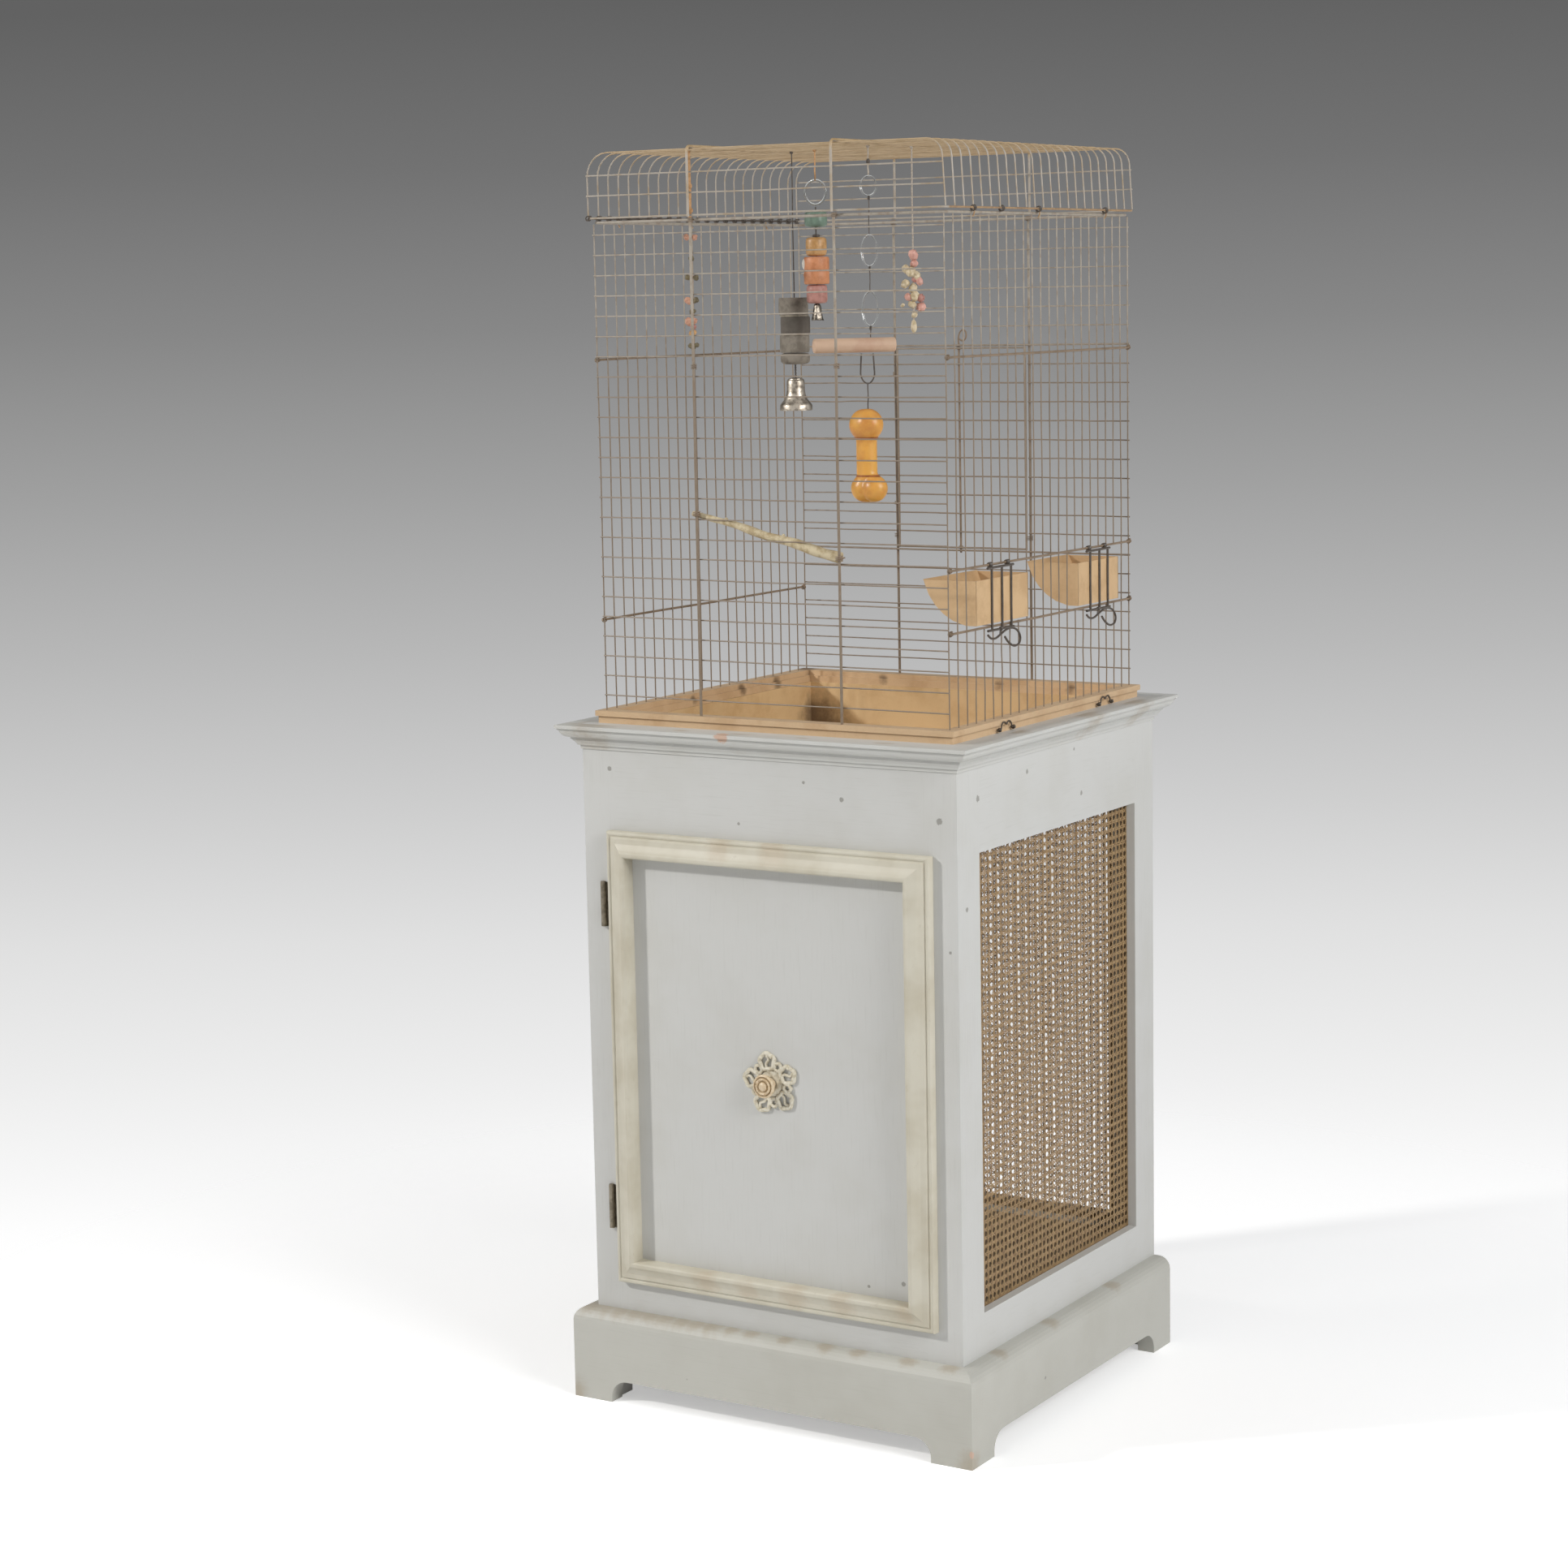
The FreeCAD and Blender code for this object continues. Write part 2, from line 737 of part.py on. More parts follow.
knob_z = (leaf_low + leaf_high) / 2 - knob_drop
plate_centre = Vector(knob_side, -half_y - plate_thick, knob_z)
plate_run = Vector(0, plate_thick, 0)
plate = rod(plate_centre, plate_centre + plate_run, 2 * plate_radius, 16)
cuts = []
for step in range(8):
    turn = math.radians(45.0 * step)
    way = Vector(math.cos(turn), 0, math.sin(turn))
    if step % 2 == 0:
        middle = plate_centre + way * plate_lobe_reach
        plate = plate.fuse(rod(middle, middle + plate_run, 2 * plate_lobe_radius, 12))
        middle = plate_centre + way * plate_hole_reach
        cuts.append(rod(middle - plate_run, middle + plate_run * 2, 2 * plate_hole_radius, 8))
keep("knob_backplate", [plate.cut(cuts).removeSplitter()])
knob_outline = [(knob_radius * radius, along) for radius, along in knob_shares]
keep("door_knob", [turned(knob_outline, plate_centre, Vector(0, -1, 0), knob_reach, 20)])

leaf_back = -half_y + leaf_thick
catch_z = (knob_z - catch_height / 2, knob_z + catch_height / 2)
keep("door_catch", [box((leaf_half - catch_lap, leaf_half - door_gap),
                        (leaf_back, leaf_back + catch_plate_thick), catch_z)])
frame_back = -half_y + frame_thick
catch_front = leaf_back + catch_plate_thick + seat_gap
catch_points = [Vector(leaf_half - catch_lap, catch_front, catch_z[0]),
                Vector(door_half, catch_front, catch_z[0]),
                Vector(door_half, frame_back, catch_z[0]),
                Vector(door_half + catch_hold, frame_back, catch_z[0]),
                Vector(door_half + catch_hold, frame_back + catch_thick, catch_z[0]),
                Vector(leaf_half - catch_lap, frame_back + catch_thick, catch_z[0])]
keep("catch_block", [prism(catch_points, Vector(0, 0, catch_height))])

# Hinges: two frame knuckles and one door knuckle round each pin
frame_leaves = []
door_leaves = []
pins = []
bore_radius = pin_radius + pin_play
for bottom in hinge_bottoms:
    third = hinge_length / 3
    knuckle = third - knuckle_gap
    plate = box(frame_wing_x, (axis_y, -half_y + wing_depth), (bottom, bottom + hinge_length))
    plate = plate.cut(box((frame_wing_x[0] - overrun, frame_wing_x[1] + overrun),
                          (axis_y - overrun, axis_y + knuckle_radius + knuckle_gap + knuckle_gap),
                          (bottom + knuckle, bottom + hinge_length - knuckle)))
    shapes = [plate]
    for low in (bottom, bottom + hinge_length - knuckle):
        foot = Vector(axis_x, axis_y, low)
        shapes.append(rod(foot, foot + Vector(0, 0, knuckle), 2 * knuckle_radius, 12))
    bore = Part.makeCylinder(bore_radius, hinge_length + 2 * overrun,
                             Vector(axis_x, axis_y, bottom - overrun))
    frame_leaves.append(shapes[0].fuse(shapes[1:]).cut(bore))
    middle = (bottom + third, bottom + hinge_length - third)
    wing = box((axis_x, wing_end), (wing_front, wing_back), (bottom, bottom + hinge_length))
    web = box((axis_x - wing_thick, axis_x + wing_thick), (axis_y, wing_back), middle)
    door_knuckle = rod(Vector(axis_x, axis_y, middle[0]), Vector(axis_x, axis_y, middle[1]),
                       2 * knuckle_radius, 12)
    door_leaves.append(wing.fuse([web, door_knuckle]).cut(bore))
    shaft = Part.makeCylinder(pin_radius, hinge_length, Vector(axis_x, axis_y, bottom))
    crown = Vector(axis_x, axis_y, bottom + hinge_length)
    head = rod(crown, crown + Vector(0, 0, wing_thick), 2 * (knuckle_radius - knuckle_gap), 8)
    pins.append(shaft.fuse(head))
keep("hinge_frame_leaves", frame_leaves)
keep("hinge_door_leaves", door_leaves)
keep("hinge_pins", pins)

# Side wires of the cage, parted at the feeders between their rails
lower_rail_z = foot_top + lower_rail_height
feeder_rail_z = foot_top + feeder_rail_height
upper_rail_z = foot_top + upper_rail_height
wire_end = ring_z - ring_r - weld_gap
wire_y = [(index - (wire_count - 1) / 2) * wire_pitch for index in range(wire_count)]
parted = list(range(front_feeder_first + 1, front_feeder_last))
parted += list(range(rear_feeder_first + 1, rear_feeder_last))
left_wires = []
right_wires = []
for index, y in enumerate(wire_y):
    left_wires.append(wire(Vector(-cage_half_x, y, foot_top), Vector(-cage_half_x, y, wire_end)))
    if index in parted:
        runs = ((foot_top, lower_rail_z + wire_r), (feeder_rail_z - wire_r, wire_end))
    else:
        runs = ((foot_top, wire_end),)
    for low, high in runs:
        right_wires.append(wire(Vector(cage_half_x, y, low), Vector(cage_half_x, y, high)))
keep("left_wires", left_wires)
keep("right_wires", right_wires)
rail_x = cage_half_x + wire_r + weld_gap + rail_r
rail_end = cage_half_y + wire_r
rails = []
for side, level in ((-1, lower_rail_z), (1, lower_rail_z), (1, feeder_rail_z), (-1, upper_rail_z),
                    (1, upper_rail_z)):
    rails.append(rod(Vector(side * rail_x, -rail_end, level), Vector(side * rail_x, rail_end, level),
                     rail_size))
keep("side_rails", rails)

# Front and back wires, the tall rods outside them and the ring at the top
panel_y = cage_half_y + wire_r + weld_gap + wire_r
rod_y = panel_y + wire_r + weld_gap + rod_r
end_x = cage_half_x + wire_r
front_z = [foot_top + front_first + front_pitch * level for level in range(level_count)]
back_z = [foot_top + back_first + back_pitch * level for level in range(level_count)]
keep("front_wires", [wire(Vector(-end_x, -panel_y, z), Vector(end_x, -panel_y, z)) for z in front_z])
rods = []
for side in (-1, 1):
    for face in (-1, 1):
        rods.append(rod(Vector(side * rod_side, face * rod_y, foot_top),
                        Vector(side * rod_side, face * rod_y, ring_z + ring_r), rod_size))
keep("cage_rods", rods)
back_wires = []
for level, z in enumerate(back_z):
    if level in (sill_index, header_index):
        back_wires.append(rod(Vector(-end_x, panel_y, z), Vector(end_x, panel_y, z), rail_size))
    elif level == stout_index:
        back_wires.append(rod(Vector(-end_x, panel_y, z), Vector(-stout_side, panel_y, z), rail_size))
        back_wires.append(wire(Vector(-stout_side, panel_y, z), Vector(end_x, panel_y, z)))
    elif sill_index < level < header_index:
        back_wires.append(wire(Vector(-end_x, panel_y, z), Vector(-rod_side + wire_r, panel_y, z)))
        back_wires.append(wire(Vector(rod_side - wire_r, panel_y, z), Vector(end_x, panel_y, z)))
    else:
        back_wires.append(wire(Vector(-end_x, panel_y, z), Vector(end_x, panel_y, z)))
keep("back_wires", back_wires)
ring_corners = [Vector(cage_half_x, 0, ring_z), Vector(cage_half_x, cage_half_y, ring_z),
                Vector(-cage_half_x, cage_half_y, ring_z), Vector(-cage_half_x, -cage_half_y, ring_z),
                Vector(cage_half_x, -cage_half_y, ring_z), Vector(cage_half_x, 0, ring_z)]
keep("cage_top_ring", [looped(rounded_points(ring_corners, 2 * ring_size, 3)[:-1], ring_size, 8)])

# Back door on the left rod, with its drop bolt
hinge_x = -rod_side
post_r = door_post_size / 2
bar_r = door_bar_size / 2
door_left = hinge_x + rod_r + post_play - post_r / 2
door_right = rod_side - rod_r - door_play - post_r
door_bottom = back_z[sill_index] + rail_r + door_play + bar_r
door_top = back_z[header_index] - rail_r - door_play - bar_r
parts = []
for x in (door_left, door_right):
    parts.append(rod(Vector(x, panel_y, door_bottom - bar_r), Vector(x, panel_y, door_top + bar_r),
                     door_post_size))
inner = (door_left + post_r + weld_gap, door_right - post_r - weld_gap)
for z in (door_bottom, door_top):
    parts.append(rod(Vector(inner[0], panel_y, z), Vector(inner[1], panel_y, z), door_bar_size))
for level in range(sill_index + 1, header_index):
    parts.append(wire(Vector(inner[0], panel_y, back_z[level]), Vector(inner[1], panel_y, back_z[level])))
eye_radius = rod_r + eye_play + eye_wall
for level in (low_eye_index, high_eye_index):
    z = back_z[level] + back_pitch / 2
    eye = tube(Vector(hinge_x, rod_y, z), Vector(0, 0, 1), eye_radius, rod_r + eye_play, eye_height)
    arm = box((hinge_x + rod_r + eye_play, door_left), (panel_y - bar_r, panel_y + bar_r + eye_wall),
              (z - eye_height / 2, z + eye_height / 2))
    around = Vector(hinge_x, rod_y, z)
    up = Vector(0, 0, eye_height)
    arm = arm.cut(rod(around - up, around + up, 2 * (rod_r + eye_play) / math.cos(math.pi / 8)))
    post = Vector(door_left, panel_y, z)
    arm = arm.cut(rod(post - up, post + up, door_post_size))
    parts.append(eye.fuse(arm).removeSplitter())
bolt_r = bolt_size / 2
bolt_y = panel_y + rail_r + bolt_play + bolt_r
bolt_x = -bolt_side
guide_z = (door_bottom, door_top)
for z in guide_z:
    guide = tube(Vector(bolt_x, bolt_y, z), Vector(0, 0, 1), bolt_r + guide_play + guide_wall,
                 bolt_r + guide_play, guide_height)
    reach = Vector(guide_height, 0, 0)
    bar_centre = Vector(bolt_x, panel_y, z)
    parts.append(guide.cut(rod(bar_centre - reach, bar_centre + reach, door_bar_size + 2 * weld_gap)))
keep("back_door", parts)
bolt_bottom = back_z[sill_index] - rail_r - bolt_tail
bolt_top = back_z[header_index] + bolt_head
shaft = rod(Vector(bolt_x, bolt_y, bolt_bottom), Vector(bolt_x, bolt_y, bolt_top), bolt_size)
collar = Vector(bolt_x, bolt_y, door_bottom + guide_height / 2 + weld_gap)
stop = rod(collar, collar + Vector(0, 0, wire_size), 2 * (bolt_r + guide_wall))
pull_centre = Vector(bolt_x + bolt_ring_radius, bolt_y, bolt_top - bolt_ring_radius - bolt_r)
pull = looped(ring_of(pull_centre, Vector(0, 1, 0), 2 * bolt_ring_radius, 12), wire_size, 6)
keep("back_door_bolt", [shaft.fuse([stop, pull])])

# Swing-out feeders with wire hangers and S hooks on the right side
face_x = rail_x + rail_r
hanger_x = face_x + weld_gap + wire_r
hanger_low = lower_rail_z - hanger_drop
eye_reach = ring_eye_radius + wire_r + weld_gap
hanger_top = feeder_rail_z - math.sqrt(eye_reach ** 2 - (hanger_x - rail_x) ** 2)


def feeder_solid(start, end):
    """A trough whose inner side is an arc about the feeder rail."""
    radius = feeder_rail_z - lower_rail_z - feeder_bottom_gap
    top = feeder_rail_z - feeder_top_gap
    lip = math.radians(180 + feeder_lip_angle)
    mid = math.radians(225 + feeder_lip_angle / 2)

    def sector(reach, face, upper, lift):
        low = feeder_rail_z - math.sqrt(reach ** 2 - (face - rail_x) ** 2)
        lip_point = Vector(rail_x + reach * math.cos(lip), start, feeder_rail_z + reach * math.sin(lip))
        mid_point = Vector(rail_x + reach * math.cos(mid), start, feeder_rail_z + reach * math.sin(mid))
        low_point = Vector(face, start, low)
        edges = [Part.Arc(lip_point, mid_point, low_point).toShape(),
                 Part.LineSegment(low_point, Vector(face, start, upper + lift)).toShape()]
        if lift > 0:
            edges.append(Part.LineSegment(Vector(face, start, upper + lift),
                                          Vector(lip_point.x, start, upper + lift)).toShape())
            edges.append(Part.LineSegment(Vector(lip_point.x, start, upper + lift), lip_point).toShape())
        else:
            edges.append(Part.LineSegment(Vector(face, start, upper),
                                          Vector(face - rail_size, start, upper)).toShape())
            edges.append(Part.LineSegment(Vector(face - rail_size, start, upper), lip_point).toShape())
        return Part.Face(Part.Wire(edges)).extrude(Vector(0, end - start, 0))

    outer = sector(radius, face_x, top, 0)
    hollow = sector(radius - feeder_floor, face_x - feeder_board, top, overrun)
    cheek = box((rail_x - radius - overrun, face_x + overrun), (start + feeder_board, end - feeder_board),
                (lower_rail_z - overrun, feeder_rail_z + overrun))
    return outer.cut(hollow.common(cheek))


def feeder(first, last, low_gap, high_gap, name):
    """A trough, its hanger and the hook on it."""
    start = wire_y[first] + low_gap
    end = wire_y[last] - high_gap
    keep("feeder_" + name, [feeder_solid(start, end)])
    eyes = (wire_y[first + 2] + wire_pitch / 2, wire_y[last - 3] + wire_pitch / 2)
    reach = wire_pitch / 2
    bars = []
    for y in eyes:
        bars.append(tube(Vector(rail_x, y, feeder_rail_z), Vector(0, 1, 0), ring_eye_radius,
                         rail_r + ring_eye_play, ring_eye_length))
    for z in (hanger_top, hanger_low):
        bars.append(rod(Vector(hanger_x, eyes[0] - reach, z), Vector(hanger_x, eyes[1] + reach, z),
                        wire_size))
    middle = (eyes[0] + eyes[1]) / 2
    beside = middle + hook_eye_length / 2 + wire_size
    for y in (eyes[0], beside, eyes[1] + reach / 2):
        bars.append(wire(Vector(hanger_x, y, hanger_low + wire_r + weld_gap),
                         Vector(hanger_x, y, hanger_top - wire_r - weld_gap)))
    keep("feeder_hanger_" + name, bars)
    pivot = Vector(hanger_x, middle, hanger_low)
    eye = tube(pivot, Vector(0, 1, 0), hook_eye_radius, wire_r + ring_eye_play, hook_eye_length)
    points = [pivot + Vector(0, hook_length * along, hook_length * up) for along, up in hook_shares]
    keep("s_hook_" + name, [eye, bent_wire(points, hook_bend, wire_size, 6, 2)])


feeder(front_feeder_first, front_feeder_last, front_feeder_inset, feeder_side_gap, "front")
feeder(rear_feeder_first, rear_feeder_last, rear_feeder_inset, rear_feeder_end, "rear")

# Perch between the front rods
perch_ends = []
clips = []
perch_side_ends = ((-1, perch_left_index, perch_thin, perch_left_tail),
                   (1, perch_right_index, perch_thick, perch_right_tail))
for side, level, radius, tail in perch_side_ends:
    low = front_z[level] + wire_r + perch_clip_lift
    z = low + perch_clip_height / 2
    x = side * rod_side
    inner_y = -rod_y + perch_clip_depth - perch_clip_front
    block = box((x - perch_clip_width / 2, x + perch_clip_width / 2), (-rod_y - perch_clip_front, inner_y),
                (low, low + perch_clip_height))
    hole = rod(Vector(x, -rod_y, low - overrun), Vector(x, -rod_y, low + perch_clip_height + overrun),
               2 * (rod_r + seat_gap) / math.cos(math.pi / 8))
    clips.append(block.cut(hole))
    perch_ends.append((Vector(x + side * tail, inner_y + radius, z), radius))
(start, thin), (end, thick) = perch_ends
run = end - start
rings = []
for share, bow in ((0.0, 0.0), (0.3, 1.0), (0.68, 0.6), (1.0, 0.0)):
    centre = start + run * share + Vector(0, perch_bow * bow / 2, perch_bow * bow)
    rings.append(ring_of(centre, Vector(1, 0, 0), 2 * (thin + (thick - thin) * share), 12))
keep("perch", clips + [skin(rings)])

# Hood: hoops standing on a band, three rows at each end and two rods over the roof
band_z = ring_z + ring_r + hood_lift - hood_band_height + hood_seat
band_top = band_z + hood_band_height
hood_half_x = cage_half_x + hood_side_out
hood_half_y = cage_half_y + hood_end_out
hood_pitch = 2 * hood_half_y / (wire_count - 1)
roof_z = band_top + hood_height
hood_y = [(index - (wire_count - 1) / 2) * hood_pitch for index in range(wire_count)]
hoops = []
for y in hood_y:
    points = [Vector(-hood_half_x, y, band_top), Vector(-hood_half_x, y, roof_z),
              Vector(hood_half_x, y, roof_z), Vector(hood_half_x, y, band_top)]
    hoops.append(bent_wire(points, hood_bend, wire_size, 5, 2))
keep("hood_wires", hoops)
row_y = hood_half_y + wire_r + weld_gap + wire_r
hood_rod_y = row_y + wire_r + weld_gap + rod_r
hood_rod_z = roof_z + wire_r + weld_gap + rod_r
rows = []
for face in (-1, 1):
    for rise in (hood_row_low, hood_row_high):
        z = band_top + rise
        reach = Vector(hood_half_x + wire_r, 0, 0)
        centre = Vector(0, face * row_y, z)
        rows.append(wire(centre - reach, centre + reach, hood_rows_size))
for side in (-1, 1):
    x = side * rod_side
    points = [Vector(x, -hood_rod_y, band_z), Vector(x, -hood_rod_y, hood_rod_z),
              Vector(x, hood_rod_y, hood_rod_z), Vector(x, hood_rod_y, band_z)]
    rows.append(bent_wire(points, hood_rod_bend, rod_size, 8, 2))
keep("hood_end_wires", rows)
band_outer_x = hood_half_x + hood_band_width / 2
band_outer_y = row_y + wire_r
band = plain_frame(band_outer_x, band_outer_y, hood_band_width, band_z, band_top)
tabs = []
ring_top = ring_z + ring_r
for side, shares in ((1, hood_hook_right_shares), (-1, hood_hook_left_shares)):
    for share in shares:
        y = hood_half_y * share
        span = (y - hook_tab_width / 2, y + hook_tab_width / 2)
        face = cage_half_x + ring_r + seat_gap
        seat = box((side * (cage_half_x - ring_r), side * (face + hook_tab_thick)), span,
                   (ring_top + hood_seat, band_z))
        outer = box((side * face, side * (face + hook_tab_thick)), span, (band_z - hook_tab_drop, band_z))
        tabs.append(seat.fuse(outer))
keep("hood_band", [joined(band + tabs)])


# Toys, each hung by an eye on one roof hoop
def toy_eye(x, y):
    """The eye that a toy swings by, about its hoop."""
    return tube(Vector(x, y, roof_z), Vector(1, 0, 0), toy_eye_radius + wire_r, wire_r + toy_eye_play,
                toy_eye_length)


eye_foot = roof_z - toy_eye_radius - wire_r


def round_bead(x, y, low, size, height, sides=12, shares=barrel_shares):
    """A barrel bead with rounded ends."""
    outline = [(size * radius, along) for radius, along in shares]
    return turned(outline, Vector(x, y, low), Vector(0, 0, 1), height, sides)


def bell(x, y, low, size, height, sides=12):
    """A thin bell, open below."""
    outer = [(size / 2 * radius, along) for radius, along in reversed(bell_shares)]
    shell = turned(outer, Vector(x, y, low), Vector(0, 0, 1), height, sides)
    inner = [(size / 2 * radius - bell_wall, along) for radius, along in reversed(bell_shares[1:])]
    return shell.cut(turned(inner, Vector(x, y, low - weld_gap), Vector(0, 0, 1), height, sides))


def cord(x, y, low, high, size=cord_size):
    """A hanging cord or wire that ends just short of what is above it."""
    return rod(Vector(x, y, low), Vector(x, y, high - weld_gap), size, 6)


x = bead_string_side
y = hood_y[bead_string_index]
z = eye_foot - bead_drop
pieces = [toy_eye(x, y), cord(x, y, z, eye_foot)]
for index in range(bead_count):
    z -= bead_length
    pieces.append(round_bead(x, y, z, bead_size, bead_length, 6, small_bead_shares))
keep("bead_string", pieces)

# Tower of a ring, beads, a block and discs over a small bell
x = tower_side
y = hood_y[tower_index]
z = eye_foot - tower_drop
hoop_radius = (tower_ring_size - tower_ring_wire) / 2
hoop_centre = Vector(x, y, z - tower_ring_size / 2)
hoop = looped(ring_of(hoop_centre, Vector(0, 1, 0), 2 * hoop_radius, 16), tower_ring_wire, 6)
keep("tower_ring", [toy_eye(x, y), cord(x, y, z, eye_foot), hoop])
z -= tower_ring_size + green_bead_height
pieces = [round_bead(x, y, z, green_bead_size, green_bead_height)]
z -= tower_cord_length
pieces.append(cord(x, y, z, z + tower_cord_length))
z -= tan_block_height
half = tan_block_size / 2
pieces.append(box((x - half, x + half), (y - half, y + half), (z, z + tan_block_height)))
for index in range(2):
    z -= disc_height
    pieces.append(rod(Vector(x, y, z), Vector(x, y, z + disc_height), disc_size, 16))
z -= pink_bead_height
pieces.append(round_bead(x, y, z, pink_bead_size, pink_bead_height))
z -= tower_bell_drop
pieces.append(cord(x, y, z, z + tower_bell_drop))
keep("tower_blocks", pieces)
keep("tower_bell", [bell(x, y, z - small_bell_height, small_bell_size, small_bell_height, 8)])

# Mineral block with two shallow bands, over a bell
x = mineral_side
y = hood_y[mineral_index]
z = eye_foot - mineral_drop
pieces = [toy_eye(x, y), cord(x, y, z, eye_foot)]
body = rod(Vector(x, y, z - mineral_height), Vector(x, y, z), mineral_size, 12)
for step in (1, 2):
    foot = Vector(x, y, z - mineral_height * step / 3 - mineral_band / 2)
    rise = Vector(0, 0, mineral_band)
    collar = rod(foot, foot + rise, mineral_size + overrun, 12)
    body = body.cut(collar.cut(rod(foot, foot + rise, mineral_size - 2 * mineral_groove, 12)))
z -= mineral_height + knob_end_height
pieces += [body, round_bead(x, y, z, knob_end_size, knob_end_height)]
z -= bell_drop
pieces.append(cord(x, y, z, z + bell_drop))
keep("mineral_block", pieces)
keep("mineral_bell", [bell(x, y, z - bell_height, bell_size, bell_height)])


def oval_link(x, y, low, width, height):
    """A closed wire link, long side upright, facing the Y axis."""
    half = (width - chain_wire_size) / 2
    rise = (height - chain_wire_size) / 2 - half
    centre = Vector(x, y, low + height / 2)
    places = []
    for side in (1, -1):
        for step in range(5):
            turn = math.pi * step / 4
            across = side * half * math.cos(turn)
            places.append(centre + Vector(across, 0, side * (rise + half * math.sin(turn))))
    return looped(places, chain_wire_size, 6)


# Chain of wire links, with a crossing dowel and a bone below
x = chain_side
y = hood_y[chain_index]
z = eye_foot
pieces = [toy_eye(x, y)]
for drop, width, height in zip(chain_link_drops, chain_link_widths, chain_link_heights):
    pieces.append(cord(x, y, z - drop, z, chain_wire_size))
    z -= drop + weld_gap + height
    pieces.append(oval_link(x, y, z, width, height))
pieces.append(cord(x, y, z - chain_last_drop, z, chain_wire_size))
keep("chain_rings", pieces)
z -= chain_last_drop + weld_gap + dowel_size / 2
way = Vector(1, 1, 0).normalize()
middle = Vector(x, y, z) - way * dowel_shift
reach = way * (dowel_length / 2)
keep("swing_dowel", [rod(middle - reach, middle + reach, dowel_size, 16)])
x -= way.x * bone_shift
y -= way.y * bone_shift
z -= dowel_size / 2 + weld_gap + bone_link_height
pieces = [oval_link(x, y, z, bone_link_width, bone_link_height)]
pieces.append(cord(x, y, z - bone_hook_length - bone_dip, z, chain_wire_size))
z -= bone_hook_length
top_z = z - bone_lobe
low = z - bone_length + bone_lobe
bone = rod(Vector(x, y, low), Vector(x, y, z - bone_dip), 2 * bone_waist, 12)
ball_outline = [(bone_lobe * radius, along) for radius, along in ball_shares]
for middle in (low, top_z):
    for side in (-1, 1):
        foot = Vector(x + side * bone_lobe_side, y, middle - bone_lobe)
        bone = bone.fuse(turned(ball_outline, foot, Vector(0, 0, 1), 2 * bone_lobe, 8))
pieces.append(bone)
keep("bone_toy", pieces)

# Cluster of pieces knotted on a cord, over a pendant
x = shell_side
y = hood_y[shell_index]
z = eye_foot - shell_drop
pieces = [toy_eye(x, y), cord(x, y, z, eye_foot)]
cluster = rod(Vector(x, y, z - shell_cluster_height), Vector(x, y, z), shell_core_size, 8)
for across, deep, down in shell_place_shares:
    low = z - shell_cluster_height * down - shell_bead / 2
    bead = round_bead(x + shell_reach * across, y + shell_reach * deep, low, shell_bead, shell_bead, 6,
                      small_bead_shares)
    cluster = cluster.fuse(bead)
z -= shell_cluster_height + pendant_drop
pieces += [cluster, cord(x, y, z, z + pendant_drop)]
z -= pendant_height
pieces.append(round_bead(x, y, z, pendant_size, pendant_height, 6, small_bead_shares))
keep("shell_cluster", pieces)

os.makedirs("parts", exist_ok=True)
for name, shape in nodes.items():
    shape.exportStep("parts/" + name + ".step")
    solids = shape.Solids
    print(name, len(solids), "solids", "valid" if shape.isValid() else "not valid",
          round(sum(solid.Volume for solid in solids), 1))
print(len(nodes), "nodes")
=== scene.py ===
# %% [markdown]
# # A parrot cage on a painted cabinet
# The cage is wirework on a tray, and the cabinet under it is old painted joinery with caned sides.
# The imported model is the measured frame. Boards whose shape is already right keep it and get a finish.
# Wires, cane, mouldings, knob and toys are made again here, each where the frame puts it.

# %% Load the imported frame
import math
import random

import bmesh
import bpy
from mathutils import Euler, Matrix, Vector


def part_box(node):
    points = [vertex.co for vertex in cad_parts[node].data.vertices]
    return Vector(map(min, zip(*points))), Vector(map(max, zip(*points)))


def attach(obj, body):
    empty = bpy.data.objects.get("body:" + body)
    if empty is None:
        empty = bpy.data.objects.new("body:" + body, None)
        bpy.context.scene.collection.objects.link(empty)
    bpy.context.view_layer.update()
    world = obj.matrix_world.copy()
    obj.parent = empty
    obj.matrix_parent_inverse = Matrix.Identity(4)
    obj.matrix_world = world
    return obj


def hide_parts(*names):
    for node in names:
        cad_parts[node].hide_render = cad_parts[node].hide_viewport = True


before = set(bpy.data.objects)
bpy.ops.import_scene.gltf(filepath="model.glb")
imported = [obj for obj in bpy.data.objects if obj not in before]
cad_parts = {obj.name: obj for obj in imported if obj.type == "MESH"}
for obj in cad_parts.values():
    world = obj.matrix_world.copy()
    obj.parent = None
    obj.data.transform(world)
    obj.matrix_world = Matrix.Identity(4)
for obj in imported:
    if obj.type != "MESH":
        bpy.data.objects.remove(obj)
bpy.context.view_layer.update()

MM = 0.001
chance = random.Random(7)

# %% [markdown]
# ## Colours and nodes
# Hex colours are written as a screen shows them, and the shader wants linear light, so one function
# turns them. One more adds a node, sets it and links it, which keeps every finish below to a few lines.

# %% Two small helpers for all finishes
def linear(text):
    """A hex colour as linear red, green, blue and alpha."""
    levels = [int(text[place:place + 2], 16) / 255 for place in (1, 3, 5)]
    return tuple(level / 12.92 if level <= 0.04045 else ((level + 0.055) / 1.055) ** 2.4
                 for level in levels) + (1.0,)


def add(tree, kind, inputs=(), **settings):
    """One node, with its settings, and its inputs set or linked."""
    node = tree.nodes.new(kind)
    for name, value in settings.items():
        setattr(node, name, value)
    for name, value in dict(inputs).items():
        if isinstance(value, bpy.types.NodeSocket):
            tree.links.new(value, node.inputs[name])
        else:
            node.inputs[name].default_value = value
    return node


